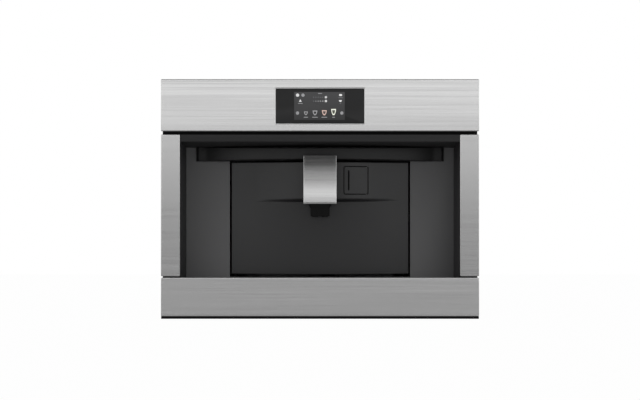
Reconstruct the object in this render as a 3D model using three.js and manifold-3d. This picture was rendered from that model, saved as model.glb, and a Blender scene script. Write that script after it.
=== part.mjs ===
// Built-in coffee machine for a 60 cm column.
// Millimetres, +Z up. The front faces -Y and the origin is on the cabinet floor under the machine's middle.

import * as THREE from 'three';
import { mergeVertices } from 'three/addons/utils/BufferGeometryUtils.js';
import Module from 'manifold-3d';

// Overall size
const frontWidth = 595;
const frontHeight = 449;
const machineDepth = 412;

// Clearances
const seat = 0.3; // between pieces that rest on or against each other
const slip = 0.6; // between pieces that slide or turn past each other
const panelGap = 2.5; // between the steel panels
const shadowGap = 6; // under the fascia

// Steel front
const steel = 1.2; // sheet of the front panels
const foldDepth = 14; // how far their edges fold back
const foldRadius = 1.5;
const fasciaHeight = 97.5;
const postWidth = 35.5;
const trayFrontHeight = 72;
const plinthHeight = 5.1;
const plinthDepth = 23;
const floorClearance = 0.4;
const displayWidth = 165.3;
const displayHeight = 65.4;
const displayDrop = 17.7; // from the top of the fascia to the top of the glass
const glassThickness = 2.8;
const moduleDepth = 10;
const frameDepth = 28; // from the front plane to the back of the front frame

// Niche for the cups
const nicheDepth = 105;
const nicheStep = 0.2; // the side walls stand this much inside the posts' edges
const wall = 2.5; // moulded walls
const ceilingFrontDrop = 19; // from the bottom of the fascia to the ceiling's front edge
const ceilingFall = 6.9; // how much lower the ceiling's back edge is
const bandSetBack = 2;
const sillHeight = 12.3; // the liner's back wall under the door
const hoodEndGap = 19.8; // from the hood's ends to the niche's side walls
const hoodBulge = 54;
const hoodHeight = 23.7;
const hoodDrop = 3.4; // from the ceiling's back edge to the hood's top
const hoodSlope = 3.2; // the underside rises this much from back to front
const lampRadius = 7;
const lampSpread = 75;
const lampSetBack = 24; // from the hood's front

// Service door
const doorSideGap = 88.5; // from the posts' inner edges to the door's
const doorTopGap = 2; // under the hood
const doorThickness = 18;
const doorGap = 3.2;
const doorSkin = 3;
const doorBulge = 35; // above the crease
const lowerBulge = 20; // below it
const creaseDrop = 74.5; // from the door's top edge to the crease
const creaseHeight = 8;
const creaseHalf = 142;
const creaseShift = 15; // the bulge sits a little to the right
const pinInset = 7.5; // door pins from the door's left edge
const pinSetBack = 6; // and from its front face
const pinRadius = 2.5;
const pinGrip = 8; // how far a pin reaches into the door and the lug
const lugSize = 14;

// Spout
const spoutWidth = 62.8;
const spoutHeight = 96;
const spoutReach = 30;
const spoutSheet = 1.5;
const spoutTravel = 50;
const spoutStandOff = 3; // from the hood to the cover's top edge
const nozzleWidth = 36;
const nozzleHeight = 25;
const collarWidth = 45;
const collarHeight = 7.5;
const outletRadius = 3.2;
const outletSpread = 9;
const neckWidth = 24;
const neckHeight = 10;
const shuttleWidth = 39;
const shuttleHeight = 12;
const shuttleDepth = 7.5;

// Connector flap, right of the spout
const flapWidth = 46.5;
const flapHeight = 53.3;
const flapLeft = 46.5;
const flapDrop = 8.8; // from the door's top edge to the flap's
const flapThickness = 4;
const flapGap = 1.1;
const flapPinInset = 2;
const flapPinRadius = 1;
const flapPinGrip = 5; // how far it reaches into the door
const gripSlotWidth = 3;
const gripSlotHeight = 34;
const connectorRadius = 7;
const pipeRadius = 5;

// Drip tray
const traySideGap = 8.8; // from the chassis walls to the tray
const trayBackGap = 211; // from the chassis's back wall to the tray
const trayHeight = 48;
const grateHeight = 12.2;
const grateSheet = 1.5;
const slotCount = 34;
const slotWidth = 5;
const floatRadius = 6;

// Chassis
const chassisInset = 33.5; // from the front's edges to the chassis walls
const chassisDrop = 8; // from the front's top edge to the chassis
const chassisSheet = 1.2;
const chassisFloor = 8.5;
const inletProud = 2;

// Brew compartment and what stands in it
const chamberMargin = 7.5; // from the door's edges to the compartment's walls
const rearSpace = 116.5; // behind the compartment, for the grinder, boiler and pump
const chamberHeadroom = 30.5; // from the compartment up to the bean container
const binSideGap = 33; // from the compartment's wall
const binFrontGap = 5; // from the door's back
const binBackGap = 25;
const binHeight = 107;
const infuserWidth = 118;
const infuserHeadroom = 79.4; // from its top to the compartment's
const infuserSideGap = 31;
const infuserFrontGap = 25;
const infuserBackGap = 8;
const infuserToBin = 25;

// Water tank, at the right side
const tankWidth = 77.5;
const tankLength = 160;
const tankHeight = 230;
const tankBottom = 90;
const tankBackGap = 74; // from the chassis's back wall
const tankSideGap = 1.3;
const lidThickness = 3.5;

// Beans and ground coffee, at the top
const hopperLeft = -150;
const hopperWidth = 250;
const hopperLength = 190;
const hopperBackGap = 14; // from the chassis's back wall
const hopperHeight = 94.5;
const grinderX = -10;
const grinderBackGap = 64; // from the back wall to its axis
const grinderRadius = 45;
const funnelSize = 50;
const funnelX = 140;
const funnelBackGap = 84;
const outletShift = 20; // the ground coffee funnel's outlet lies this much to the left
const outletInset = 27.5; // and this far in front of the compartment's back
const outletSize = 30;
const knobRadius = 16;
const knobHeight = 7;

// Runners
const railFrontGap = 7.7; // from the chassis's front and back
const railBackGap = 24;
const railHeight = 43.2;
const railSheet = 1.5;
const railZ = 40;
const footWidth = 26;
const footSheet = 2;

// Derived levels and planes
const frontY = -machineDepth / 2;
const backY = machineDepth / 2;
const halfFront = frontWidth / 2;
const fasciaBottom = frontHeight - fasciaHeight;
const postTop = fasciaBottom - shadowGap;
const trayFrontBottom = floorClearance + plinthHeight + seat;
const trayFrontTop = trayFrontBottom + trayFrontHeight;
const postBottom = trayFrontTop + panelGap;
const nicheHalf = halfFront - postWidth;
const chassisHalf = halfFront - chassisInset;
const chassisWidth = 2 * chassisHalf;
const chassisTop = frontHeight - chassisDrop;
const innerFaceY = frontY + steel + seat; // what stands behind the steel sheets
const foldY = frontY + foldDepth;
const ringFrontY = foldY + seat;
const frameBackY = frontY + frameDepth;
const nicheY = frontY + nicheDepth; // front face of the liner's back wall
const linerBackY = nicheY + wall;
const linerHalf = nicheHalf - nicheStep; // inner faces of the liner's side walls
const ceilingFrontZ = fasciaBottom - ceilingFrontDrop;
const wallInnerHalf = chassisHalf - chassisSheet;
const deckZ = chassisFloor + chassisSheet; // upper face of the base pan
const chassisBackY = backY - inletProud;
const chassisFrontY = frameBackY + seat;
const coverZ = [chassisTop - chassisSheet, chassisTop];
const hopperTop = coverZ[0] - seat;
const hopperBottom = hopperTop - hopperHeight;

const trayWidth = 2 * (wallInnerHalf - traySideGap);
const trayBottom = deckZ + seat;
const trayTop = trayBottom + trayHeight;
const grateTop = trayTop + seat + grateHeight;
const sillBottom = trayTop + 2;
const sillTop = sillBottom + sillHeight;
const hoodTop = ceilingFrontZ - ceilingFall - hoodDrop;
const hoodBottom = hoodTop - hoodHeight;
const doorBottom = trayFrontTop + slip; // the open door passes over the tray's front
const doorTop = hoodBottom - doorTopGap;
const doorHalf = nicheHalf - doorSideGap;
const doorBackY = nicheY + doorThickness;
const openingHalf = doorHalf + doorGap;
const hoodFrontY = nicheY - hoodBulge;
const creaseZ = doorTop - creaseDrop;
const pinX = -doorHalf + pinInset;
const pinY = nicheY + pinSetBack;

const wasm = await Module();
wasm.setup();

const coffeeMachine = new THREE.Group();
const machine = movingGroup(coffeeMachine, [0, 0, 0]);

const finishes = {
  steel: new THREE.MeshStandardMaterial({ color: 0xb8babc, roughness: 0.34, metalness: 1 }),
  sheetMetal: new THREE.MeshStandardMaterial({ color: 0x9b9fa2, roughness: 0.5, metalness: 0.9 }),
  moulding: new THREE.MeshStandardMaterial({ color: 0x2c2d2f, roughness: 0.55, metalness: 0 }),
  doorGrey: new THREE.MeshStandardMaterial({ color: 0x47484a, roughness: 0.45, metalness: 0 }),
  black: new THREE.MeshStandardMaterial({ color: 0x111213, roughness: 0.5, metalness: 0 }),
  glass: new THREE.MeshStandardMaterial({ color: 0x2a2b2d, roughness: 0.08, metalness: 0 }),
  lens: new THREE.MeshStandardMaterial({ color: 0xe6e6e0, roughness: 0.2, metalness: 0 }),
  smoke: new THREE.MeshStandardMaterial({ color: 0x4d5459, roughness: 0.15, metalness: 0 }),
  red: new THREE.MeshStandardMaterial({ color: 0xb52a1e, roughness: 0.5, metalness: 0 }),
  silicone: new THREE.MeshStandardMaterial({ color: 0xd8d6d0, roughness: 0.6, metalness: 0 }),
};

// Solids

function solidOf(geometry) {
  const bare = geometry.clone();
  bare.deleteAttribute('normal');
  bare.deleteAttribute('uv');
  const merged = mergeVertices(bare, 1e-4);
  return new wasm.Manifold(new wasm.Mesh({
    numProp: 3,
    vertProperties: merged.attributes.position.array,
    triVerts: new Uint32Array(merged.index.array),
  }));
}

// Pieces that move as one are a group, with its origin on the joint that it moves on.
function movingGroup(parent, origin) {
  const group = new THREE.Group();
  parent.add(group);
  parent.updateWorldMatrix(true, false);
  group.position.copy(parent.worldToLocal(new THREE.Vector3(...origin)));
  return group;
}

function add(name, solid, material, group = machine) {
  const mesh = solid.getMesh();
  const geometry = new THREE.BufferGeometry();
  geometry.setAttribute('position', new THREE.BufferAttribute(mesh.vertProperties, 3));
  geometry.setIndex(new THREE.BufferAttribute(mesh.triVerts, 1));
  geometry.computeVertexNormals();
  geometry.computeBoundingBox();
  const middle = geometry.boundingBox.getCenter(new THREE.Vector3());
  geometry.translate(-middle.x, -middle.y, -middle.z);
  const made = new THREE.Mesh(geometry, material.clone());
  made.name = name;
  group.updateWorldMatrix(true, false);
  made.position.copy(group.worldToLocal(middle));
  group.add(made);
}

const join = (...solids) => solids.reduce((whole, next) => whole.add(next));
const cut = (whole, ...tools) => tools.reduce((left, tool) => left.subtract(tool), whole);

// Ranges are [low, high]; a range on the left side is the mirror of the one on the right.
const onSide = (side, [low, high]) => (side > 0 ? [low, high] : [-high, -low]);
const around = (middle, size) => [middle - size / 2, middle + size / 2];
const grown = ([low, high], by) => [low - by, high + by];

function block([x0, x1], [y0, y1], [z0, z1]) {
  const box = new THREE.BoxGeometry(x1 - x0, y1 - y0, z1 - z0);
  return solidOf(box.translate((x0 + x1) / 2, (y0 + y1) / 2, (z0 + z1) / 2));
}

function outline(points) {
  return new THREE.Shape(points.map(([u, v]) => new THREE.Vector2(u, v)));
}

function roundedOutline([u0, u1], [v0, v1], radius) {
  const shape = new THREE.Shape();
  shape.absarc(u1 - radius, v0 + radius, radius, -Math.PI / 2, 0);
  shape.absarc(u1 - radius, v1 - radius, radius, 0, Math.PI / 2);
  shape.absarc(u0 + radius, v1 - radius, radius, Math.PI / 2, Math.PI);
  shape.absarc(u0 + radius, v0 + radius, radius, Math.PI, 1.5 * Math.PI);
  return shape;
}

// An outline drawn in the two axes across the given one, and carried along it. A bevel rounds both ends.
const crossAxes = {
  x: [[0, 1, 0], [0, 0, 1], [1, 0, 0]],
  y: [[1, 0, 0], [0, 0, 1], [0, -1, 0]],
  z: [[1, 0, 0], [0, 1, 0], [0, 0, 1]],
};

function carried(shape, axis, [from, to], { bevel = 0, segments = 2 } = {}) {
  const options = { depth: to - from - 2 * bevel, bevelEnabled: bevel > 0, curveSegments: segments };
  Object.assign(options, {
    bevelThickness: bevel, bevelSize: bevel, bevelOffset: -bevel, bevelSegments: 2,
  });
  const geometry = new THREE.ExtrudeGeometry(shape, options).translate(0, 0, bevel);
  const columns = crossAxes[axis].map((direction) => new THREE.Vector3(...direction));
  geometry.applyMatrix4(new THREE.Matrix4().makeBasis(...columns));
  const start = axis === 'y' ? [0, to, 0] : [axis === 'x' ? from : 0, 0, axis === 'z' ? from : 0];
  return solidOf(geometry.translate(...start));
}

// A round bar along an axis; its centre is given in the two axes across.
function rod(axis, [u, v], [from, to], radius, sides = 20) {
  const shape = new THREE.Shape().absarc(u, v, radius, 0, 2 * Math.PI);
  return carried(shape, axis, [from, to], { segments: sides / 2 });
}

// A solid through closed sections that all have the same number of corners, listed counterclockwise
// as seen from the end that the sections run towards.
function loft(sections) {
  const count = sections[0].length;
  const positions = sections.flat(2);
  const index = [];
  for (let s = 0; s + 1 < sections.length; s++) {
    for (let i = 0; i < count; i++) {
      const a = s * count + i;
      const b = s * count + ((i + 1) % count);
      index.push(a, b, b + count, a, b + count, a + count);
    }
  }
  const last = (sections.length - 1) * count;
  for (const [a, b, c] of capOf(sections[0])) index.push(c, b, a);
  for (const [a, b, c] of capOf(sections.at(-1))) index.push(last + a, last + b, last + c);
  const geometry = new THREE.BufferGeometry();
  geometry.setAttribute('position', new THREE.Float32BufferAttribute(positions, 3));
  geometry.setIndex(index);
  return solidOf(geometry);
}

// Triangles over a flat section, turned the way that the section runs.
function capOf(section) {
  const points = section.map((corner) => new THREE.Vector3(...corner));
  const normal = new THREE.Vector3();
  points.forEach((p, i) => normal.add(p.clone().cross(points[(i + 1) % points.length])));
  const upward = Math.abs(normal.z) > 0.5 * normal.length();
  const across = upward ? new THREE.Vector3(1, 0, 0) : new THREE.Vector3(0, 0, 1);
  const u = across.cross(normal).normalize();
  const v = normal.clone().cross(u).normalize();
  const flat = points.map((p) => new THREE.Vector2(p.dot(u), p.dot(v)));
  return THREE.ShapeUtils.triangulateShape(flat, []);
}

// A box whose far end has other sides: a rectangle at each of two levels.
function tapered(low, high) {
  const corners = ({ x: [x0, x1], y: [y0, y1], z }) => [[x0, y0, z], [x1, y0, z], [x1, y1, z], [x0, y1, z]];
  return loft([corners(low), corners(high)]);
}

// A folded sheet panel, open at the back: its front edges are rolled and its rim folds back.
function foldedPanel(x, z) {
  const outer = roundedOutline(x, z, foldRadius + 0.6);
  const blank = carried(outer, 'y', [frontY, foldY + foldRadius], { bevel: foldRadius, segments: 2 });
  const inside = block(grown(x, -steel), [frontY + steel, backY], grown(z, -steel));
  return cut(blank, inside, block(grown(x, 1), [foldY, backY], grown(z, 1)));
}

// Steel front

const displayZ = [frontHeight - displayDrop - displayHeight, frontHeight - displayDrop];
const displayX = around(0, displayWidth);

function controlFascia() {
  const panel = foldedPanel([-halfFront, halfFront], [fasciaBottom, frontHeight]);
  const pane = roundedOutline(grown(displayX, seat), grown(displayZ, seat), 1.5);
  add('control_fascia', cut(panel, carried(pane, 'y', [frontY - 1, foldY])), finishes.steel);
}

function display() {
  const pane = roundedOutline(displayX, displayZ, 1.2);
  const glassBack = frontY + seat + glassThickness;
  add('display_glass', carried(pane, 'y', [frontY + seat, glassBack]), finishes.glass);
  const board = block(grown(displayX, -4), [glassBack + seat, glassBack + seat + 2], grown(displayZ, -2));
  const front = glassBack + seat + 1;
  const screen = block(around(0, 104), [front, glassBack + moduleDepth], grown(displayZ, -6));
  const plug = block(around(55, 18), [front, glassBack + moduleDepth - 2], around(displayZ[0] + 20, 24));
  add('display_module', join(board, screen, plug), finishes.black);
}

function posts() {
  for (const [name, side] of [['left_post', -1], ['right_post', 1]]) {
    const across = onSide(side, [nicheHalf, halfFront]);
    add(name, foldedPanel(across, [postBottom, postTop]), finishes.steel);
  }
}

// The moulded frame behind the steel: a ring, with a core in each post and in the fascia.
const coreHalf = halfFront - steel - seat;
const coreZ = [fasciaBottom + steel + seat, frontHeight - steel - seat];
const modulePocket = seat + glassThickness + moduleDepth + seat;

function frontFrame() {
  const ring = block([-coreHalf, coreHalf], [ringFrontY, frameBackY], [trayFrontBottom, coreZ[1]]);
  const mouthTop = ceilingFrontZ + wall + seat;
  const mouth = block(around(0, chassisWidth + 2 * seat), [frontY, backY], [deckZ, mouthTop]);
  const fasciaCore = block([-coreHalf, coreHalf], [innerFaceY, ringFrontY + 1], coreZ);
  const pocket = block(grown(displayX, 5), [frontY, frontY + modulePocket], grown(displayZ, 3));
  const postCores = [-1, 1].map((side) => block(
    onSide(side, [chassisHalf + seat, coreHalf]),
    [innerFaceY, ringFrontY + 1],
    [postBottom + steel + seat, postTop - steel - seat]));
  const hollows = [-1, 1].map((side) => block(
    onSide(side, [displayWidth / 2 + 14, coreHalf - 10]), [frontY, frameBackY - 4], grown(coreZ, -8)));
  const whole = join(cut(ring, mouth), fasciaCore, ...postCores);
  add('front_frame', cut(whole, pocket, ...hollows), finishes.black);
}

function plinth() {
  const y = [frontY + 3, frontY + 3 + plinthDepth];
  const top = floorClearance + plinthHeight;
  const section = outline([[y[0], floorClearance + 1], [y[0] + 1, floorClearance], [y[1], floorClearance],
    [y[1], top], [y[0], top]]);
  const hollow = block(around(0, frontWidth - 12), [y[0] + 3, y[1] - 3], [floorClearance - 1, top - 1.6]);
  add('plinth_strip', cut(carried(section, 'x', [-halfFront, halfFront]), hollow), finishes.moulding);
}

// Niche

// The ceiling falls towards the back; this is its height at a given y.
const ceilingZ = (y) => ceilingFrontZ - (ceilingFall * (y - innerFaceY)) / (nicheY - innerFaceY);

// Side walls, a ceiling that falls towards the back, a back wall with the door's opening in it, the band
// over the niche, and two lugs for the door's pins.
function nicheLiner() {
  const wallZ = [sillTop, ceilingFrontZ + 1];
  const sides = [-1, 1].map((side) => block(
    onSide(side, [linerHalf, chassisHalf]), [ringFrontY, linerBackY], wallZ));
  const slab = (half, [from, to]) => carried(outline([
    [from, ceilingZ(from)], [to, ceilingZ(to)], [to, ceilingFrontZ + wall], [from, ceilingFrontZ + wall],
  ]), 'x', [-half, half]);
  const ceilingFront = slab(nicheHalf - seat, [bandY[0], ringFrontY + 1]);
  const ceiling = slab(chassisHalf, [ringFrontY, linerBackY]);
  const band = block(around(0, 2 * (nicheHalf - seat)), bandY, [ceilingFrontZ, postTop - seat]);
  const backWall = block([-linerHalf, linerHalf], [nicheY, linerBackY], [sillBottom, ceilingFrontZ]);
  const openingZ = [sillTop, hoodBottom + seat];
  const opening = block([-openingHalf, openingHalf], grown([nicheY, linerBackY], 1), openingZ);
  const lugX = around(pinX, lugSize);
  const lugY = [nicheY, linerBackY + 10.5];
  const lugZ = [[sillBottom + 3.2, sillTop], [openingZ[1], openingZ[1] + 11]];
  const lugs = lugZ.map((z) => block(lugX, lugY, z));
  const bores = pinSpans().map((span) => rod('z', [pinX, pinY], grown(span, 0.2), pinRadius + seat, 16));
  const shell = join(...sides, ceilingFront, ceiling, band, cut(backWall, opening), ...lugs);
  add('niche_liner', cut(shell, ...bores), finishes.moulding);
}

const bandY = [frontY + bandSetBack, frontY + bandSetBack + wall];

// The hood's plan is an arc that bulges towards the front.
function arcOutline(halfWidth, bulge, backLine, steps = 20) {
  const radius = (halfWidth ** 2 + bulge ** 2) / (2 * bulge);
  const points = [];
  for (let i = 0; i <= steps; i++) {
    const x = -halfWidth + (2 * halfWidth * i) / steps;
    points.push([x, backLine - bulge + radius - Math.sqrt(radius ** 2 - x ** 2)]);
  }
  return outline([...points, [halfWidth, backLine + 0.01], [-halfWidth, backLine + 0.01]]);
}

function hood() {
  const back = nicheY - seat;
  const half = linerHalf - hoodEndGap;
  const outer = carried(arcOutline(half, hoodBulge - seat, back), 'z', [hoodBottom, hoodTop]);
  const hollowZ = [hoodBottom + hoodSlope + wall, hoodTop - wall];
  const inner = carried(arcOutline(half - 12, hoodBulge - 4, back), 'z', hollowZ);
  const mouth = block([12 - half, half - 12], [back - 1, back + 1], hollowZ);
  const slope = outline([[back, hoodBottom - 1], [back, hoodBottom], [hoodFrontY - 1, hoodBottom + hoodSlope],
    [hoodFrontY - 1, hoodBottom - 1]]);
  const underside = carried(slope, 'x', [-half - 1, half + 1]);
  const holes = [-1, 1].map((side) => rod(
    'z', [side * lampSpread, lampY], [hoodBottom - 1, hoodBottom + 8], lampRadius + seat));
  add('hood', cut(outer, inner, mouth, underside, ...holes), finishes.moulding);
}

const lampY = hoodFrontY + lampSetBack;

// Two lenses on one strip that lies on the hood's inner floor.
function cupLamps() {
  const floor = hoodBottom + hoodSlope + wall + seat;
  const strip = block(around(0, 2 * lampSpread + 24), around(lampY, 12), [floor, floor + 2]);
  const lensZ = [hoodBottom + 2.8, floor + 1];
  const lenses = [-1, 1].map((side) => rod('z', [side * lampSpread, lampY], lensZ, lampRadius));
  add('cup_lamps', join(strip, ...lenses), finishes.lens);
}

// Service door

// How far the door's face stands in front of its edges: a shallow arc, deeper above the crease. The extra
// depth dies out before the door's edges, so the crease does too.
const bowAt = (x) => 1 - (x / doorHalf) ** 2;

function extraAt(x) {
  const reach = (x - creaseShift) / creaseHalf;
  return Math.abs(reach) >= 1 ? 0 : (doorBulge - lowerBulge) * (1 - reach ** 2) ** 2;
}

// Share of the extra depth at each height: none below the crease, a rolled lip above it.
const creaseSteps = [[0, 0], [0.25, 0.3], [0.45, 0.62], [0.65, 0.84], [0.85, 0.96], [1, 1]];

const faceY = (x, share) => nicheY - (doorBulge - extraAt(0)) * bowAt(x) - share * extraAt(x);

function doorSections(inset, skin, backLine) {
  const low = doorBottom + inset;
  const high = doorTop - inset;
  const levels = [[low, 0]];
  for (const [height, share] of creaseSteps) levels.push([creaseZ + height * creaseHeight, share]);
  levels.push([high, 1]);
  const half = doorHalf - inset;
  const steps = 24;
  return levels.map(([z, share]) => {
    const section = [];
    for (let i = 0; i <= steps; i++) {
      const x = -half + (2 * half * i) / steps;
      section.push([x, faceY(x, share) + skin, z]);
    }
    section.push([half, backLine, z], [-half, backLine, z]);
    return section;
  });
}

const flapX = [flapLeft, flapLeft + flapWidth];
const flapZ = [doorTop - flapDrop - flapHeight, doorTop - flapDrop];
const flapPinX = flapX[1] - flapPinInset;
const flapPinY = faceY(flapPinX, 1) + 2;
const door = movingGroup(machine, [pinX, pinY, doorBottom]);
const flap = movingGroup(door, [flapPinX, flapPinY, flapZ[0]]);
const shuttleZ = [doorTop - doorSkin - seat - shuttleHeight, doorTop - doorSkin - seat];
const neckZ = [shuttleZ[0] + 1, shuttleZ[0] + 1 + neckHeight];
const slotZ = [neckZ[0] - spoutTravel - 1, neckZ[1] + 1];
const shuttleY = faceY(-shuttleWidth / 2, 1) + doorSkin + slip; // its front, behind the door's skin

function pinSpans() {
  return [
    [sillTop - pinGrip, doorBottom + doorSkin + pinGrip],
    [doorTop - doorSkin - pinGrip, hoodBottom + pinGrip],
  ];
}

function serviceDoor() {
  const outer = loft(doorSections(0, 0, doorBackY));
  const inner = loft(doorSections(doorSkin, doorSkin, doorBackY + 2));
  const flapBore = rod('z', [flapPinX, flapPinY], grown(flapZ, flapPinGrip + seat), flapPinRadius + seat, 12);
  const holeShape = roundedOutline(grown(flapX, flapGap), grown(flapZ, flapGap), 3.5);
  const hole = carried(holeShape, 'y', [frontY, nicheY + 8]);
  const slot = block(around(0, neckWidth + 2 * slip), [frontY, nicheY], slotZ);
  const bosses = pinSpans().map((span) => rod('z', [pinX, pinY], [Math.max(span[0], doorBottom + 1),
    Math.min(span[1], doorTop - 1)], pinInset - 1.5, 16));
  const bores = pinSpans().map((span) => rod('z', [pinX, pinY], grown(span, seat), pinRadius + seat, 16));
  const shell = join(cut(outer, inner, hole, slot), ...bosses);
  add('service_door', cut(shell, flapBore, ...bores), finishes.doorGrey, door);
  const pins = ['lower_door_pin', 'upper_door_pin'];
  pinSpans().forEach((span, i) => add(pins[i], rod('z', [pinX, pinY], span, pinRadius, 16), finishes.steel));
}

const panelY = [doorBackY - 3.2, doorBackY - seat];

// The flat panel that closes the door's back, with a window for the connector and stiffening ribs.
function doorInnerPanel() {
  const x = grown([-doorHalf, doorHalf], -doorSkin - seat);
  const z = grown([doorBottom, doorTop], -doorSkin - seat);
  const plate = carried(roundedOutline(x, z, 2), 'y', panelY);
  const window = carried(roundedOutline(grown(flapX, -2), grown(flapZ, -2), 4), 'y', grown(panelY, 9));
  const relief = block([x[0] - 1, pinX + pinInset], grown(panelY, 1), [z[0] - 1, z[0] + pinGrip + 2]);
  const reliefTop = block([x[0] - 1, pinX + pinInset], grown(panelY, 1), [z[1] - pinGrip - 2, z[1] + 1]);
  const ribs = [-0.62, -0.3, 0.62].map((share) => block(
    around(share * doorHalf, 2), [panelY[0] - 7, panelY[0] + 1], [z[0] + 14, creaseZ - 6]));
  const panel = cut(join(plate, ...ribs), window, relief, reliefTop);
  add('door_inner_panel', panel, finishes.moulding, door);
}

// The magnet that holds the door shut, on the compartment's side wall.
function catchMagnet() {
  const inner = chamberHalf - wall - seat;
  const tip = doorHalf - 16;
  const front = doorBackY + seat;
  const shape = outline([
    [tip, front], [inner, front], [inner, front + 24], [inner - 3, front + 24], [tip, front + 12],
  ]);
  add('catch_magnet', carried(shape, 'z', [doorBottom + 102, doorBottom + 118]), finishes.black);
}

// Spout

const coverBackY = hoodFrontY - spoutStandOff;
const coverBottom = doorTop + 15.5 - spoutHeight;
const coffeeSpout = movingGroup(door, [0, coverBackY, coverBottom]);

// A quarter of an ellipse: upright at the bottom, it leans back to level at the top.
function coverOutline(inset, overrun) {
  const steps = 12;
  const points = [];
  for (let i = 0; i < steps; i++) {
    const turn = (Math.PI / 2) * (i / steps);
    const y = coverBackY - (spoutReach - inset) * Math.cos(turn);
    points.push([y, coverBottom + (spoutHeight - inset) * Math.sin(turn)]);
  }
  const low = coverBottom - overrun;
  const back = coverBackY + overrun;
  const foot = [coverBackY - spoutReach + inset, low];
  return outline([[back, low], foot, ...points, [back, coverBottom + spoutHeight - inset]]);
}

function spoutCover() {
  const x = around(0, spoutWidth);
  const outer = carried(coverOutline(0, 5), 'x', x, { bevel: 1.2 });
  const inner = carried(coverOutline(spoutSheet, 9), 'x', grown(x, -spoutSheet));
  const below = block(grown(x, 1), [frontY - 5, backY], [0, coverBottom]);
  const behind = block(grown(x, 1), [coverBackY, backY], [0, frontHeight]);
  add('spout_cover', cut(outer, inner, below, behind), finishes.steel, coffeeSpout);
}

const nozzleTop = coverBottom - seat;

// The carrier runs in the door: a shuttle behind the door's skin, a neck through its slot, and a block
// that fills the cover.
function spoutCarrier() {
  const across = spoutWidth - 2 * (spoutSheet + seat);
  const blockY = [coverBackY - 16, faceY(0, 1) - 2];
  const body = block(around(0, across), blockY, [coverBottom + 34, doorTop - 4]);
  const coreY = [coverBackY - 22, coverBackY + 8];
  const core = block(around(0, collarWidth - 6), coreY, [coverBottom, coverBottom + 40]);
  const neck = block(around(0, neckWidth), [blockY[1] - 1, shuttleY + 2], neckZ);
  const shuttle = block(around(0, shuttleWidth), [shuttleY, shuttleY + shuttleDepth], shuttleZ);
  add('spout_carrier', join(body, core, neck, shuttle), finishes.black, coffeeSpout);
}

function spoutNozzle() {
  const y = [coverBackY - 24, coverBackY + 6];
  const collar = tapered(
    { x: around(0, nozzleWidth), y: grown(y, -2), z: nozzleTop - collarHeight },
    { x: around(0, collarWidth), y, z: nozzleTop });
  const bottom = nozzleTop - nozzleHeight;
  const body = carried(roundedOutline(around(0, nozzleWidth), grown(y, -2), 3), 'z', [bottom + 4, nozzleTop - 2]);
  const middle = (y[0] + y[1]) / 2;
  const outlets = [-1, 1].map((side) => [side * outletSpread, middle]);
  const tips = outlets.map((at) => rod('z', at, [bottom, bottom + 5], outletRadius + 3));
  const bores = outlets.map((at) => rod('z', at, [bottom - 1, bottom + 14], outletRadius));
  const seatHoleZ = [nozzleTop - 3, nozzleTop + 1];
  const seatHole = block(around(0, collarWidth - 12), [coverBackY - 20, coverBackY], seatHoleZ);
  const nozzle = cut(join(collar, body, ...tips), ...bores, seatHole);
  add('spout_nozzle', nozzle, finishes.black, coffeeSpout);
}

// A channel on the inner face of the door's skin; the shuttle slides in it.
function spoutGuide() {
  const trackHalf = shuttleWidth / 2 + slip / 2;
  const half = trackHalf + 3;
  const front = faceY(-half, 0.9) + doorSkin + seat;
  const back = shuttleY + shuttleDepth + seat;
  const z = [shuttleZ[0] - spoutTravel - 2, doorTop - doorSkin - seat];
  const channel = block([-half, half], [front, back + 3], z);
  const track = block([-trackHalf, trackHalf], [front - 1, back], [z[0] + 1.5, z[1] + 1]);
  add('spout_guide', cut(channel, track), finishes.moulding, door);
}

// Connector flap

function connectorFlap() {
  const outer = loft(doorSections(0, 0, doorBackY));
  const inner = loft(doorSections(0, flapThickness, doorBackY + 2));
  const prism = carried(roundedOutline(flapX, flapZ, 3), 'y', [frontY, nicheY]);
  const slotX = [flapX[0] + 7.5, flapX[0] + 7.5 + gripSlotWidth];
  const slotZRange = around((flapZ[0] + flapZ[1]) / 2, gripSlotHeight);
  const grip = carried(roundedOutline(slotX, slotZRange, 1.4), 'y', [frontY, faceY(slotX[0], 1) + 2.4]);
  const bore = rod('z', [flapPinX, flapPinY], grown(flapZ, 9), flapPinRadius + seat, 12);
  const leaf = cut(cut(outer, inner).intersect(prism), grip, bore);
  add('connector_flap', leaf, finishes.doorGrey, flap);
  const pin = rod('z', [flapPinX, flapPinY], grown(flapZ, flapPinGrip), flapPinRadius, 12);
  add('flap_pin', pin, finishes.steel, door);
}

const connectorAt = [flapX[0] + flapWidth / 2, (flapZ[0] + flapZ[1]) / 2];
const chamberY = [linerBackY + seat, chassisBackY - rearSpace];
const chamberZ = [sillBottom + seat, hopperBottom - chamberHeadroom];

function steamConnector() {
  const rear = chamberY[1] - wall - seat;
  const tip = faceY(connectorAt[0], 1) + doorSkin + 14;
  const [x, z] = connectorAt;
  const pipe = rod('y', connectorAt, [tip + 6, rear], pipeRadius, 16);
  const nozzle = rod('y', connectorAt, [tip, tip + 22], connectorRadius, 20);
  const collar = rod('y', connectorAt, [tip + 14, tip + 17], connectorRadius + 2, 20);
  const flange = carried(roundedOutline(around(x, 30), around(z, 30), 5), 'y', [rear - 3, rear]);
  const hanger = block(around(x, 4), [tip + 60, tip + 74], [z, chamberZ[1] - wall - seat]);
  const bore = rod('y', connectorAt, [tip - 1, tip + 30], connectorRadius - 3.4, 12);
  add('steam_connector', cut(join(pipe, nozzle, collar, flange, hanger), bore), finishes.steel);
}

// Drip tray

const trayY = [foldY - 2, chassisBackY - trayBackGap];
const grateY = [foldY + 0.7, nicheY - 3.5];
const floatAt = [-nicheHalf + 62, (frontY + nicheY) / 2];
const tray = movingGroup(machine, [0, frontY, trayFrontBottom]);

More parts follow.
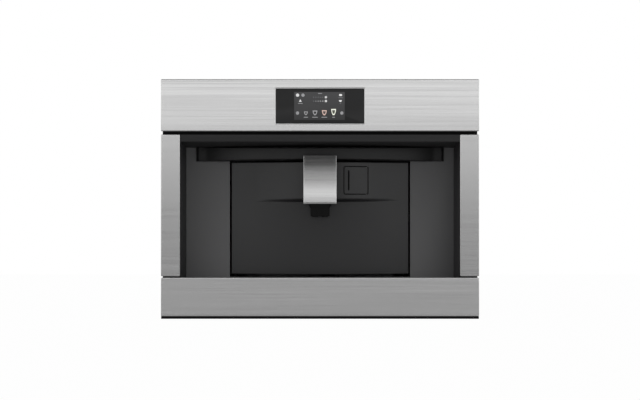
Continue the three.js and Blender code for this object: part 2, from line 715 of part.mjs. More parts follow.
function dripTray() {
  const half = halfFront - steel - seat;
  const face = [trayFrontBottom + steel + seat, trayFrontTop - steel - seat];
  const pan = cut(
    block([-half, half], [innerFaceY, foldY], face),
    block(grown([-half, half], -3), [innerFaceY + 3, foldY + 1], grown(face, -3)));
  const rim = around(0, trayWidth);
  const basinShape = roundedOutline(grown(rim, -wall), [trayY[0] + 5, trayY[1] - wall], 5.5);
  const tub = cut(
    carried(roundedOutline(rim, trayY, 8), 'z', [trayBottom, trayTop]),
    carried(basinShape, 'z', [trayBottom + wall, trayTop + 1]));
  const crossRibY = [grateY[1] - 2.5, grateY[1] + 0.5];
  const crossRib = block(grown(rim, -1), crossRibY, [trayBottom + 1, trayTop - 0.5]);
  const ribY = [innerFaceY + 1, trayY[0] + 1];
  const ribs = [-200, -100, 0, 100, 200].map((x) => block(around(x, 3), ribY, grown(face, -1)));
  const post = cut(
    rod('z', floatAt, [trayBottom + 1, trayBottom + 16], floatRadius + 7),
    rod('z', floatAt, [trayBottom + wall, trayBottom + 17], floatRadius + 4 + slip));
  add('drip_tray', join(pan, tub, crossRib, ...ribs, post), finishes.moulding, tray);
  const front = foldedPanel([-halfFront, halfFront], [trayFrontBottom, trayFrontTop]);
  add('tray_front', front, finishes.steel, tray);
}

// An upturned pan of sheet steel with a row of drain slots, and a hole for the float.
function cupGrate() {
  const x = around(0, trayWidth);
  const z = [trayTop + seat, grateTop];
  const hollowShape = roundedOutline(grown(x, -grateSheet), grown(grateY, -grateSheet), 1.6);
  const shell = cut(
    carried(roundedOutline(x, grateY, 3), 'z', z),
    carried(hollowShape, 'z', [z[0] - 1, z[1] - grateSheet]));
  const slots = [];
  const pitch = (trayWidth - 24) / slotCount;
  for (let i = 0; i < slotCount; i++) {
    const middle = x[0] + 12 + pitch * (i + 0.5);
    if (Math.abs(middle - floatAt[0]) < floatRadius + slotWidth + 2) continue;
    slots.push(block(around(middle, slotWidth), grown(grateY, -10), [z[0], z[1] + 1]));
  }
  const eye = rod('z', floatAt, [z[0], z[1] + 1], floatRadius + slip);
  add('cup_grate', cut(shell, ...slots, eye), finishes.steel, tray);
}

function floatIndicator() {
  const body = rod('z', floatAt, [trayBottom + wall + seat, trayBottom + 26], floatRadius + 4, 20);
  const stem = rod('z', floatAt, [trayBottom + 25, grateTop - 0.8], floatRadius, 20);
  add('float_indicator', join(body, stem), finishes.red, movingGroup(tray, [...floatAt, trayBottom]));
}

// Brew compartment

const chamberHalf = doorHalf + chamberMargin;
const outletAt = [funnelX - outletShift, chamberY[1] - outletInset];

function brewChamber() {
  const x = [-chamberHalf, chamberHalf];
  const hollowShape = roundedOutline(grown(x, -wall), grown(chamberZ, -wall), 3.5);
  const shell = cut(
    carried(roundedOutline(x, chamberZ, 6), 'y', chamberY),
    carried(hollowShape, 'y', [chamberY[0] - 1, chamberY[1] - wall]));
  const legs = [];
  const legY = [chamberY[1] - 67.5, chamberY[1] - 2];
  for (const side of [-1, 1]) {
    const leg = onSide(side, [chamberHalf - 30, chamberHalf - 8]);
    legs.push(cut(
      block(leg, legY, [deckZ + seat, chamberZ[0] + 1]),
      block(grown(leg, -3), grown(legY, -3), [deckZ, chamberZ[0] - 3])));
  }
  const rearY = [chamberY[1] - 5, chamberY[1] + 1];
  const groundsHole = block(around(grinderX, 22), rearY, around(chamberZ[1] - 15, 14));
  const funnelHoleXY = outletAt.map((middle) => around(middle, outletSize - 6));
  const funnelHole = block(...funnelHoleXY, [chamberZ[1] - 5, chamberZ[1] + 1]);
  const steamHole = rod('y', connectorAt, [chamberY[1] - 5, chamberY[1] + 1], pipeRadius - 1.5, 12);
  const runnerY = grown(infuserY, -18);
  const runners = [-1, 1].map((side) => {
    const runnerX = around(infuserX[0] + infuserWidth / 2 + side * (infuserWidth / 2 - 6), 5);
    return block(runnerX, runnerY, [chamberZ[0] + 1, chamberZ[0] + wall + 2]);
  });
  const body = join(shell, ...legs, ...runners);
  add('brew_compartment', cut(body, groundsHole, funnelHole, steamHole), finishes.moulding);
}

const infuserX = [chamberHalf - infuserSideGap - infuserWidth, chamberHalf - infuserSideGap];
const infuserY = [doorBackY + infuserFrontGap, chamberY[1] - wall - infuserBackGap];
const binX = [-chamberHalf + binSideGap, infuserX[0] - infuserToBin];
const binY = [doorBackY + binFrontGap, chamberY[1] - wall - binBackGap];
const floorZ = chamberZ[0] + wall; // the compartment's floor

// A tub for the spent coffee, with a slanted front top and a pull at its front.
function groundsContainer() {
  const z = [floorZ + seat, floorZ + seat + binHeight];
  const tub = cut(
    carried(roundedOutline(binX, binY, 12), 'z', z),
    carried(roundedOutline(grown(binX, -wall), grown(binY, -wall), 9.5), 'z', [z[0] + wall, z[1] + 1]));
  const slantShape = outline([[binY[0] - 1, z[1] - 34], [binY[0] + 62, z[1] + 1], [binY[0] - 1, z[1] + 1]]);
  const slant = carried(slantShape, 'x', grown(binX, 1));
  const middle = (binX[0] + binX[1]) / 2;
  const scoop = rod('x', [binY[0], z[0] + 30], around(middle, 70), 15, 16);
  const guardShape = roundedOutline(around(middle, 78), [z[0] + 10, z[0] + 50], 8);
  const guard = carried(guardShape, 'y', [binY[0] + 1, binY[0] + 20]);
  add('grounds_container', cut(join(cut(tub, slant), guard), scoop), finishes.moulding);
}

// Brew unit: a base on runners, two columns, the brew cylinder between them and the piston head on top.
function infuser() {
  const z = floorZ + 2 + seat;
  const height = chamberZ[1] - infuserHeadroom - z;
  const middle = [(infuserX[0] + infuserX[1]) / 2, (infuserY[0] + infuserY[1]) / 2];
  const base = carried(roundedOutline(infuserX, infuserY, 8), 'z', [z, z + 26]);
  const columns = [-1, 1].map((side) => {
    const columnX = around(middle[0] + side * (infuserWidth / 2 - 9), 16);
    return carried(roundedOutline(columnX, around(middle[1], 70), 5), 'z', [z + 20, z + height - 32]);
  });
  const cylinder = cut(
    rod('z', middle, [z + 22, z + 96], 34, 28),
    rod('z', middle, [z + 60, z + 97], 29, 28));
  const bridgeShape = roundedOutline(infuserX, around(middle[1], 84), 10);
  const bridge = carried(bridgeShape, 'z', [z + height - 38, z + height - 18]);
  const piston = join(
    rod('z', middle, [z + 100, z + height - 34], 26, 24),
    rod('z', middle, [z + 90, z + 101], 8));
  const cap = rod('z', middle, [z + height - 20, z + height - 4], 22, 24);
  const pullY = infuserY[0] - 12;
  const pull = cut(
    carried(roundedOutline(around(middle[0], 60), [z + 30, z + 58], 6), 'y', [pullY, middle[1] - 20]),
    carried(roundedOutline(around(middle[0], 44), [z + 37, z + 51], 4), 'y', [pullY - 1, pullY + 26]));
  add('infuser', join(base, ...columns, cylinder, bridge, piston, cap, pull), finishes.doorGrey);
}

// Chassis

// A row of slots through a wall that faces along an axis, on its positive or its negative side.
function vents(axis, side, middle, level, count, pitch, [width, height]) {
  const through = onSide(side, [0, chassisWidth]);
  const cuts = [];
  for (let i = 0; i < count; i++) {
    const u = around(middle + (i - (count - 1) / 2) * pitch, width);
    const z = around(level, height);
    cuts.push(axis === 'y' ? block(u, through, z) : block(through, u, z));
  }
  return cuts;
}

const tankX = [wallInnerHalf - tankSideGap - tankWidth, wallInnerHalf - tankSideGap];
const tankY = [chassisBackY - tankBackGap - tankLength, chassisBackY - tankBackGap];
const tankTop = tankBottom + tankHeight;
const tank = movingGroup(machine, [tankX[1], tankY[0], tankBottom]);

function chassis() {
  const y = [chassisFrontY, chassisBackY - chassisSheet - seat];
  const wallZ = [chassisFloor, chassisTop - chassisSheet - seat];
  const pan = block(around(0, 2 * (wallInnerHalf - seat)), y, [chassisFloor, deckZ]);
  const guideX = trayWidth / 2 + slip;
  const guides = [-1, 1].map((side) => block(
    onSide(side, [guideX, guideX + 1.5]), [chassisFrontY, trayY[1]], [deckZ - 0.5, deckZ + 18]));
  const stopY = [trayY[1] + seat + 1, trayY[1] + seat + 2.5];
  const endStop = block(around(0, 160), stopY, [deckZ - 0.5, deckZ + 14]);
  add('base_pan', join(pan, ...guides, endStop), finishes.sheetMetal);

  for (const [name, side] of [['left_wall', -1], ['right_wall', 1]]) {
    const across = onSide(side, [wallInnerHalf, chassisHalf]);
    const linerZ = [sillTop - seat, ceilingFrontZ + wall + seat];
    const linerWindow = block(grown(across, 1), [frontY, linerBackY + seat], linerZ);
    const sheet = cut(block(across, y, wallZ), linerWindow);
    const high = vents('x', side, hopperY[0] - 90, chassisTop - 60, 7, 12, [5, 50]);
    const low = vents('x', side, chassisBackY - 44, 150, 5, 12, [5, 60]);
    const windowZ = [tankBottom - 2.5, tankTop + lidThickness + 5];
    const window = block([0, chassisWidth], grown(tankY, 4), windowZ);
    const cuts = side > 0 ? [window] : [...high, ...low];
    add(name, cut(sheet, ...cuts), finishes.sheetMetal);
  }

  const back = block([-chassisHalf, chassisHalf], [chassisBackY - chassisSheet, chassisBackY], wallZ);
  const hole = block(grown(inletX, -4), [0, backY], grown(inletZ, -4));
  const slots = vents('y', 1, 60, chassisTop - 141, 10, 15, [6, 80]);
  const lower = vents('y', 1, 60, 90, 8, 15, [6, 50]);
  add('back_wall', cut(back, hole, ...slots, ...lower), finishes.sheetMetal);
}

const hopperX = [hopperLeft, hopperLeft + hopperWidth];
const hopperY = [chassisBackY - hopperBackGap - hopperLength, chassisBackY - hopperBackGap];
const grinderY = chassisBackY - grinderBackGap;
const funnelTopX = around(funnelX, funnelSize);
const funnelTopY = around(chassisBackY - funnelBackGap, funnelSize);
const knobAt = [funnelX, hopperY[0] + 40];

function topCover() {
  const sheet = block([-chassisHalf, chassisHalf], [chassisFrontY, chassisBackY], coverZ);
  const beanShape = roundedOutline(grown(hopperX, -4), grown(hopperY, -4), 10);
  const beanHole = carried(beanShape, 'z', grown(coverZ, 1));
  const groundShape = roundedOutline(grown(funnelTopX, -4), grown(funnelTopY, -4), 5);
  const groundHole = carried(groundShape, 'z', grown(coverZ, 1));
  const knobHole = rod('z', knobAt, grown(coverZ, 1), 5 + slip);
  const slots = [];
  const slotY = [chassisFrontY + 27.7, chassisFrontY + 97.7];
  for (let i = 0; i < 8; i++) {
    slots.push(block(around(59 - chassisHalf + 12 * i, 5), slotY, grown(coverZ, 1)));
  }
  add('top_cover', cut(sheet, beanHole, groundHole, knobHole, ...slots), finishes.sheetMetal);
}

// Sheet shelf that carries the grinder and the boiler, folded up against the back wall.
const shelfZ = hopperBottom - 120.7;
const shelfX = [-170, 175];
const shelfSheet = 1.5;
const shelfFold = 26; // up the back wall
const shelfLip = 12; // down at the front
const hoseAt = [57, chassisBackY - 86]; // where the boiler's hose comes up
const shelfY = [chamberY[1] + 3, chassisBackY - chassisSheet - seat];

function equipmentShelf() {
  const sheet = block(shelfX, shelfY, [shelfZ - shelfSheet, shelfZ]);
  const fold = block(shelfX, [shelfY[1] - shelfSheet, shelfY[1]], [shelfZ - 1, shelfZ + shelfFold]);
  const lip = block(shelfX, [shelfY[0], shelfY[0] + shelfSheet], [shelfZ - shelfLip, shelfZ - 1]);
  const hoseHole = rod('z', hoseAt, [shelfZ - 2, shelfZ + 1], 6, 16);
  add('equipment_shelf', cut(join(sheet, fold, lip), hoseHole), finishes.sheetMetal);
}

// Beans

// A funnel between two rounded rectangles, open at both ends.
function funnelShell(top, bottom, thickness) {
  const level = ({ x, y, z }, by, lift) => roundedCorners(grown(x, -by), grown(y, -by), 6, z + lift);
  const outer = loft([level(bottom, 0, 0), level(top, 0, 0)]);
  const inner = loft([level(bottom, thickness, -0.5), level(top, thickness, 0.5)]);
  return cut(outer, inner);
}

function roundedCorners([x0, x1], [y0, y1], radius, z) {
  const points = [];
  const centres = [
    [x1 - radius, y0 + radius], [x1 - radius, y1 - radius], [x0 + radius, y1 - radius], [x0 + radius, y0 + radius],
  ];
  centres.forEach(([x, y], corner) => {
    for (let i = 0; i <= 2; i++) {
      const turn = (corner - 1 + i / 2) * (Math.PI / 2);
      points.push([x + radius * Math.cos(turn), y + radius * Math.sin(turn), z]);
    }
  });
  return points;
}

function beanContainer() {
  const throat = around(0, 44);
  const bottom = { x: throat.map((v) => v + grinderX), y: throat.map((v) => v + grinderY), z: hopperBottom };
  const funnel = funnelShell({ x: hopperX, y: hopperY, z: hopperTop - 22 }, bottom, wall);
  const rimHollow = roundedOutline(grown(hopperX, -wall), grown(hopperY, -wall), 3.5);
  const rim = cut(
    carried(roundedOutline(hopperX, hopperY, 6), 'z', [hopperTop - 22.2, hopperTop]),
    carried(rimHollow, 'z', [hopperTop - 23, hopperTop + 1]));
  add('bean_container', join(funnel, rim), finishes.smoke);
}

function lidOver(x, y, thickness, pull) {
  const z = [chassisTop + seat, chassisTop + seat + thickness];
  const plate = carried(roundedOutline(x, y, 8), 'z', z, { bevel: 1 });
  const grip = rod('x', [y[0], z[1] + 4], around((x[0] + x[1]) / 2, pull), 7, 16);
  return cut(plate, grip);
}

function topLids() {
  const z = chassisTop + seat;
  const beanHinge = movingGroup(machine, [hopperX[0] + hopperWidth / 2, hopperY[1] + 4, z]);
  add('bean_lid', lidOver(grown(hopperX, 4), grown(hopperY, 4), 5, 60), finishes.moulding, beanHinge);
  const groundLid = lidOver(grown(funnelTopX, 3), grown(funnelTopY, 3), 5, 24);
  const groundHinge = movingGroup(machine, [funnelX, funnelTopY[1] + 3, z]);
  add('ground_coffee_lid', groundLid, finishes.moulding, groundHinge);
}

function groundCoffeeFunnel() {
  const top = { x: funnelTopX, y: funnelTopY, z: hopperTop };
  const [x, y] = outletAt.map((middle) => around(middle, outletSize));
  const bottom = { x, y, z: chamberZ[1] + seat };
  add('ground_coffee_funnel', funnelShell(top, bottom, 2), finishes.moulding);
}

function grinder() {
  const at = [grinderX, grinderY];
  const motor = rod('z', at, [shelfZ + seat + 3, shelfZ + 68], grinderRadius - 9, 28);
  const footShape = roundedOutline(around(grinderX, 96), around(grinderY, 84), 8);
  const foot = carried(footShape, 'z', [shelfZ + seat, shelfZ + seat + 5]);
  const burrs = rod('z', at, [shelfZ + 64, hopperBottom - 10], grinderRadius, 32);
  const throat = cut(
    rod('z', at, [hopperBottom - 12, hopperBottom - seat], 24, 24),
    rod('z', at, [hopperBottom - 8, hopperBottom], 19, 24));
  const outletY = [chamberY[1] + seat, grinderY - 20];
  const outlet = block(around(grinderX, 32), outletY, around(chamberZ[1] - 15, 22));
  const bore = block(around(grinderX, 22), [chamberY[1] - 1, grinderY - 34], around(chamberZ[1] - 15, 14));
  add('grinder', cut(join(motor, foot, burrs, throat, outlet), bore), finishes.black);
}

function grinderKnob() {
  const profile = [[0, 0], [knobRadius - 1, 0], [knobRadius, 1], [knobRadius - 1.5, knobHeight - 0.8],
    [knobRadius - 3, knobHeight], [0, knobHeight]];
  const turned = new THREE.LatheGeometry(profile.map(([r, h]) => new THREE.Vector2(r, h)), 28);
  const dial = solidOf(turned.rotateX(Math.PI / 2).translate(knobAt[0], knobAt[1], chassisTop + seat));
  const flutes = [];
  for (let i = 0; i < 9; i++) {
    const turn = (i / 9) * 2 * Math.PI;
    const reach = knobRadius + 1.2;
    const centre = [knobAt[0] + reach * Math.cos(turn), knobAt[1] + reach * Math.sin(turn)];
    flutes.push(rod('z', centre, [chassisTop, frontHeight + 1], 2.6, 10));
  }
  const shaft = rod('z', knobAt, [chassisTop - 26, chassisTop + 2], 5, 16);
  const knob = movingGroup(machine, [...knobAt, chassisTop]);
  add('grinder_knob', join(cut(dial, ...flutes), shaft), finishes.black, knob);
}

// Water

function waterTank() {
  const z = [tankBottom, tankTop];
  const shell = cut(
    carried(roundedOutline(tankX, tankY, 10), 'z', z),
    carried(roundedOutline(grown(tankX, -wall), grown(tankY, -wall), 7.5), 'z', [z[0] + wall, z[1] + 1]));
  const middle = (tankY[0] + tankY[1]) / 2;
  const gripShape = roundedOutline(around(middle, 80), [z[1] - 60, z[1] - 24], 10);
  const grip = carried(gripShape, 'x', [tankX[1] - 12, tankX[1] + 1]);
  const gripWallShape = roundedOutline(around(middle, 85), [z[1] - 62.5, z[1] - 21.5], 12);
  const gripWall = carried(gripWallShape, 'x', [tankX[1] - 14.5, tankX[1] - 0.5]);
  const valve = rod('z', valveAt, [z[0] + 1, z[0] + 12], 12, 20);
  const port = rod('z', valveAt, [z[0] - 1, z[0] + 13], 4, 12);
  add('water_tank', cut(join(shell, gripWall, valve), grip, port), finishes.smoke, tank);
}

const valveAt = [tankX[0] + 26, tankY[1] - 26];

function tankLid() {
  const z = [tankTop + seat, tankTop + seat + lidThickness];
  const x = grown(tankX, -0.2);
  const plate = carried(roundedOutline(x, tankY, 9), 'z', z);
  const wellShape = roundedOutline([tankX[0] + 24, tankX[1] - 16], grown(tankY, -34), 8);
  const well = carried(wellShape, 'z', [z[0] + 1.5, z[1] + 1]);
  const hinge = movingGroup(tank, [x[0], tankY[0] + tankLength / 2, z[0]]);
  add('tank_lid', cut(plate, well), finishes.moulding, hinge);
}

// The seat that the tank slides onto, with the valve's socket and a drain lip, on four legs.
function tankSeat() {
  const top = tankBottom - seat;
  const x = [tankX[0], wallInnerHalf - seat];
  const deck = block(x, tankY, [top - 10, top]);
  const relief = block(grown(x, -4), grown(tankY, -4), [top - 11, top - 3]);
  const socket = rod('z', valveAt, [top - 26, top], 14, 20);
  const bore = rod('z', valveAt, [top - 20, top + 1], 4, 12);
  const legs = [];
  for (const legX of [x[0], x[1] - 8]) {
    for (const legY of [trayY[1] + 14, tankY[1] - 8]) {
      legs.push(block([legX, legX + 8], [legY, legY + 8], [deckZ + seat, top - 2]));
    }
  }
  add('tank_seat', cut(join(cut(deck, relief), socket, ...legs), bore), finishes.black);
}

const pumpAt = [chassisBackY - 59, deckZ + 38];

function pump() {
  const [y, z] = pumpAt;
  const core = rod('x', pumpAt, [40, 140], 15, 20);
  const coil = carried(roundedOutline(around(y, 46), around(z, 46), 6), 'x', [66, 116]);
  const tips = [rod('x', pumpAt, [26, 44], 5, 14), rod('x', pumpAt, [136, 154], 5, 14)];
  const mounts = [72, 110].map((x) => block(around(x, 8), around(y, 30), [deckZ + seat, z - 20]));
  add('pump', join(core, coil, ...tips, ...mounts), finishes.black);
}

const boilerAt = [118, chassisBackY - 52];
const portSpread = 14;

function boiler() {
  const z = shelfZ + seat;
  const body = rod('z', boilerAt, [z + 4, z + 72], 34, 28);
  const bands = [z + 14, z + 58].map((level) => rod('z', boilerAt, [level, level + 6], 36.5, 28));
  const footShape = roundedOutline(around(boilerAt[0], 84), around(boilerAt[1], 70), 6);
  const foot = carried(footShape, 'z', [z, z + 5]);
  const portsAt = [-1, 1].map((side) => [boilerAt[0] + side * portSpread, boilerAt[1]]);
  const ports = portsAt.map((at) => rod('z', at, [z + 70, z + 82], 5, 12));
  add('boiler', join(body, ...bands, foot, ...ports), finishes.sheetMetal);
}

// A hose along points, with straight ends square to what it meets.
function hose(name, points, radius) {
  const path = new THREE.CatmullRomCurve3(points.map((p) => new THREE.Vector3(...p)), false, 'centripetal');
  const section = new THREE.Shape();
  for (let i = 0; i < 8; i++) {
    const turn = (i / 8) * 2 * Math.PI;
    const corner = [radius * Math.cos(turn), radius * Math.sin(turn)];
    if (i === 0) section.moveTo(...corner);
    else section.lineTo(...corner);
  }
  const steps = Math.min(40, Math.round(path.getLength() / (radius * 5)));
  const tube = new THREE.ExtrudeGeometry(section, { steps, extrudePath: path, bevelEnabled: false });
  add(name, solidOf(tube), finishes.silicone);
}

function hoses() {
  const [pumpY, pumpZ] = pumpAt;
  const socketZ = tankBottom - seat - 26;
  const boilerTop = shelfZ + seat + 82;
  hose('tank_hose', [
    [valveAt[0], valveAt[1], socketZ - seat], [valveAt[0], valveAt[1], socketZ - 9],
    [valveAt[0] - 8, valveAt[1] + 22, pumpZ + 4], [176, pumpY, pumpZ], [154 + seat, pumpY, pumpZ],
  ], 4);
  const [x, y] = boilerAt;
  hose('pump_hose', [
    [26 - seat, pumpY, pumpZ], [14, pumpY, pumpZ], [4, pumpY - 6, pumpZ + 20], [22, pumpY - 21, pumpZ + 62],
    [...hoseAt, shelfZ - 30], [...hoseAt, shelfZ], [...hoseAt, boilerTop - 30],
    [hoseAt[0] + 9, hoseAt[1] + 10, boilerTop + 8], [x - 28, y - 6, boilerTop + 22],
    [x - portSpread, y, boilerTop + 14], [x - portSpread, y, boilerTop + seat],
  ], 3);
  const [steamX, steamZ] = connectorAt;
  const rear = chamberY[1];
  hose('steam_hose', [
    [x + portSpread, y, boilerTop + seat], [x + portSpread, y, boilerTop + 12], [x + 9, y - 24, boilerTop + 20],
    [x - 18, y - 46, boilerTop - 6], [steamX + 3, rear + 16.5, steamZ + 18], [steamX, rear + 10.5, steamZ + 2],
    [steamX, rear + 5, steamZ], [steamX, rear + seat, steamZ],
  ], 3);
}

// Electrics

const inletX = [-wallInnerHalf + 38.8, -wallInnerHalf + 110.8];
const inletZ = [44, 76];
const rockerAt = [chassisBackY + inletProud - 8.3, (inletZ[0] + inletZ[1]) / 2];
const rockerX = around(inletX[1] - 16, 14);

function mainsInlet() {
  const flange = carried(roundedOutline(inletX, inletZ, 3), 'y', [chassisBackY + seat, backY]);
  const body = block(grown(inletX, -4 - seat), [chassisBackY - 34, backY - 1], grown(inletZ, -4 - seat));
  const middle = (inletZ[0] + inletZ[1]) / 2;
  const socketMiddle = inletX[0] + 24;
  const socket = carried(outline([
    [socketMiddle - 12, middle - 8], [socketMiddle + 12, middle - 8], [socketMiddle + 12, middle + 4],
    [socketMiddle + 7, middle + 8], [socketMiddle - 7, middle + 8], [socketMiddle - 12, middle + 4],
  ]), 'y', [backY - 20, backY + 1]);
  const pins = [[-7, -1], [0, 3], [7, -1]].map(([x, z]) => (
    block(around(socketMiddle + x, 2), [backY - 21, backY - 4], around(middle + z, 4))
  ));
  const rockerWell = block(grown(rockerX, slip), [rockerAt[0] - 13, backY + 1], around(middle, 22.4));
  add('mains_inlet', join(cut(join(flange, body), socket, rockerWell), ...pins), finishes.black);
}

// A rocker with a shallow V face, tipped to one side.
function mainSwitch() {
  const lean = THREE.MathUtils.degToRad(12);
  const half = 9;
  const edge = 4.5 + half * Math.tan(lean);
  const corners = [[-5, -5], [edge, -half], [4.5, 0], [edge, half], [-5, 5]];
  const turned = corners.map(([y, z]) => [
    rockerAt[0] + y * Math.cos(lean) - z * Math.sin(lean),
    rockerAt[1] + y * Math.sin(lean) + z * Math.cos(lean),
  ]);
  const rocker = carried(outline(turned), 'x', rockerX);
  const stub = rod('x', rockerAt, grown(rockerX, slip - seat), 2.5, 12);
  const rock = movingGroup(machine, [(rockerX[0] + rockerX[1]) / 2, ...rockerAt]);
  add('main_switch', join(rocker, stub), finishes.red, rock);
}

function controlBox() {
  const x = around(0, 250);
  const y = [chassisFrontY, chassisFrontY + 46];
  const z = [fasciaBottom + 4, frontHeight - 16];
  const body = carried(roundedOutline(x, z, 4), 'y', y);
  const hollow = block(grown(x, -2.5), [y[0] - 1, y[1] - 2.5], grown(z, -2.5));
  const board = block(grown(x, -12), [y[0] + 20, y[0] + 22], grown(z, -1));
  const parts = [];
  for (const [middle, width, depth] of [[-90, 30, 16], [-40, 22, 20], [20, 44, 12], [84, 26, 18]]) {
    const onBoard = [y[0] + 21, y[0] + 22 + depth];
    parts.push(block(around(middle, width), onBoard, around((z[0] + z[1]) / 2, width)));
  }
  const cableHole = block(around(-110, 14), [y[1] - 5, y[1] + 1], [z[0] + 8, z[0] + 16]);
  add('control_box', join(cut(body, hollow, cableHole), board, ...parts), finishes.black);
}

// Runners: three nested channels on each side, and an angle that stands on the cabinet floor.
const middleRunners = movingGroup(coffeeMachine, [0, chassisFrontY, railZ]);

function runners() {
  const y = [chassisFrontY + railFrontGap, chassisBackY - railBackGap];
  for (const [word, side] of [['left', -1], ['right', 1]]) {
    let from = chassisHalf + seat;
    const members = [
      ['machine_rail', railHeight - 7.2, machine],
      ['middle_rail', railHeight - 3.6, middleRunners],
      ['cabinet_rail', railHeight, coffeeMachine],
    ];
    members.forEach(([name, height, group], i) => {
      const web = i === 0 ? [from, from + railSheet] : [from + 4.5, from + 4.5 + railSheet];
      const reach = i === 0 ? [from, from + 4.5 + railSheet - 1.8] : [from, web[1]];
      const arms = block(onSide(side, reach), y, around(railZ, height));
      const inside = i === 0 ? [web[1], reach[1] + 1] : [reach[0] - 1, web[0]];
      const hollow = block(onSide(side, inside), grown(y, 1), around(railZ, height - 2 * railSheet));
      add(`${word}_${name}`, cut(arms, hollow), finishes.sheetMetal, group);
      from += i === 0 ? 0.6 : railSheet + seat;
    });
    const outer = from + 4.5;
    const upright = block(onSide(side, [outer, outer + railSheet]), y, [0, railZ + railHeight / 2]);
    const foot = block(onSide(side, [outer + railSheet - footWidth, outer + railSheet]), y, [0, footSheet]);
    add(`${word}_cabinet_bracket`, join(upright, foot), finishes.sheetMetal, coffeeMachine);
  }
}

controlFascia();
display();
posts();
frontFrame();
plinth();
nicheLiner();
hood();
cupLamps();
serviceDoor();
doorInnerPanel();
catchMagnet();
spoutCover();
spoutCarrier();
spoutNozzle();
spoutGuide();
connectorFlap();
steamConnector();
dripTray();
cupGrate();
floatIndicator();
brewChamber();
groundsContainer();
infuser();
chassis();
topCover();
equipmentShelf();
beanContainer();
topLids();
groundCoffeeFunnel();
grinder();
grinderKnob();
waterTank();
tankLid();
tankSeat();
pump();
boiler();
hoses();
mainsInlet();
mainSwitch();
controlBox();
runners();

export default coffeeMachine;
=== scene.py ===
# Built-in coffee machine: steel front, cup niche with its spout, and what stands behind it.
# The CAD frame sets every size and place. Sizes are millimetres until a mesh is written.
import math

import bmesh
import bpy
import numpy as np
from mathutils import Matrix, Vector


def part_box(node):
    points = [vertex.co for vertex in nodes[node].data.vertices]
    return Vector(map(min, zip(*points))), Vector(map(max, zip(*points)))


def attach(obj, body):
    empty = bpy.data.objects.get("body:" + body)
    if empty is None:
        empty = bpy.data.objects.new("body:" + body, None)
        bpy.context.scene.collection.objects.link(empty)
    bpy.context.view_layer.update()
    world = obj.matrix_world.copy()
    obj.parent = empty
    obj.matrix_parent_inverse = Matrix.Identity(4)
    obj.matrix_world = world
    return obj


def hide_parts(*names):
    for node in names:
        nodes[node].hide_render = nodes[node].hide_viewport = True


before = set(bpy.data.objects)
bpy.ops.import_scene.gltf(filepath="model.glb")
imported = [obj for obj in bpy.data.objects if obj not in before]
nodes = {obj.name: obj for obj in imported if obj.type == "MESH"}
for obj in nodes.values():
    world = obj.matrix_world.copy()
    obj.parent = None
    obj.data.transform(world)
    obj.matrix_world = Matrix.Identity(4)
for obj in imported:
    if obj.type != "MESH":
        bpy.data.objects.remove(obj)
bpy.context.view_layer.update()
mm = 0.001
print("frame loaded:", len(nodes), "nodes")


def boxMm(name):
    # lowest and highest corner of a CAD node
    low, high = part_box(name)
    return np.array(low) / mm, np.array(high) / mm


# shader nodes


def feed(tree, node, values):
    # a socket of another node is linked, anything else becomes the plain value
    for key, value in values.items():
        if isinstance(value, bpy.types.NodeSocket):
            tree.links.new(value, node.inputs[key])
        else:
            node.inputs[key].default_value = value


def newNode(tree, kind, inputs=None, **settings):
    node = tree.nodes.new(kind if kind.startswith("Node") else "ShaderNode" + kind)
    for key, value in settings.items():
        setattr(node, key, value)
    feed(tree, node, inputs or {})
    return node


def calc(tree, operation, a, b=None, clamp=False):
    inputs = {0: a} if b is None else {0: a, 1: b}
    return newNode(tree, "Math", inputs, operation=operation, use_clamp=clamp).outputs[0]


def total(tree, *terms):
    # the sum of the terms, where a pair stands for its product
    values = [calc(tree, "MULTIPLY", *term) if isinstance(term, tuple) else term for term in terms]
    result = values[0]
    for value in values[1:]:
        result = calc(tree, "ADD", result, value)
    return result


def centred(tree, value):
    return calc(tree, "SUBTRACT", value, 0.5)


def scaled(tree, vector, factor):
    inputs = {0: vector, "Scale": factor}
    return newNode(tree, "VectorMath", inputs, operation="SCALE").outputs[0]


def colourMix(tree, factor, a, b):
    a, b = ((*value, 1) if isinstance(value, tuple) else value for value in (a, b))
    return newNode(tree, "Mix", {0: factor, 6: a, 7: b}, data_type="RGBA").outputs[2]


def greyRamp(tree, stops, along):
    # greys by position, straight lines between them
    ramp = newNode(tree, "ValToRGB", {0: along})
    elements = ramp.color_ramp.elements
    elements.remove(elements[0])
    for i, (position, grey) in enumerate(stops):
        stop = elements[0] if i == 0 else elements.new(position)
        stop.position = position
        stop.color = (grey, grey, grey, 1)
    return ramp.outputs[0]


def objectCoords(tree):
    return newNode(tree, "TexCoord").outputs["Object"]


def noiseOf(tree, coords, size, detail, rough, stretch=None):
    # cloudy noise, whose cells the stretch squeezes along each axis
    if stretch:
        coords = newNode(tree, "Mapping", {0: coords, "Scale": stretch}).outputs[0]
    inputs = {"Vector": coords, "Scale": size, "Detail": detail, "Roughness": rough}
    return newNode(tree, "TexNoise", inputs).outputs["Fac"]


def clearTree(owner):
    owner.use_nodes = True
    owner.node_tree.nodes.clear()
    return owner.node_tree


def addObject(name, data):
    obj = bpy.data.objects.new(name, data)
    bpy.context.scene.collection.objects.link(obj)
    return obj


# camera, floor and light

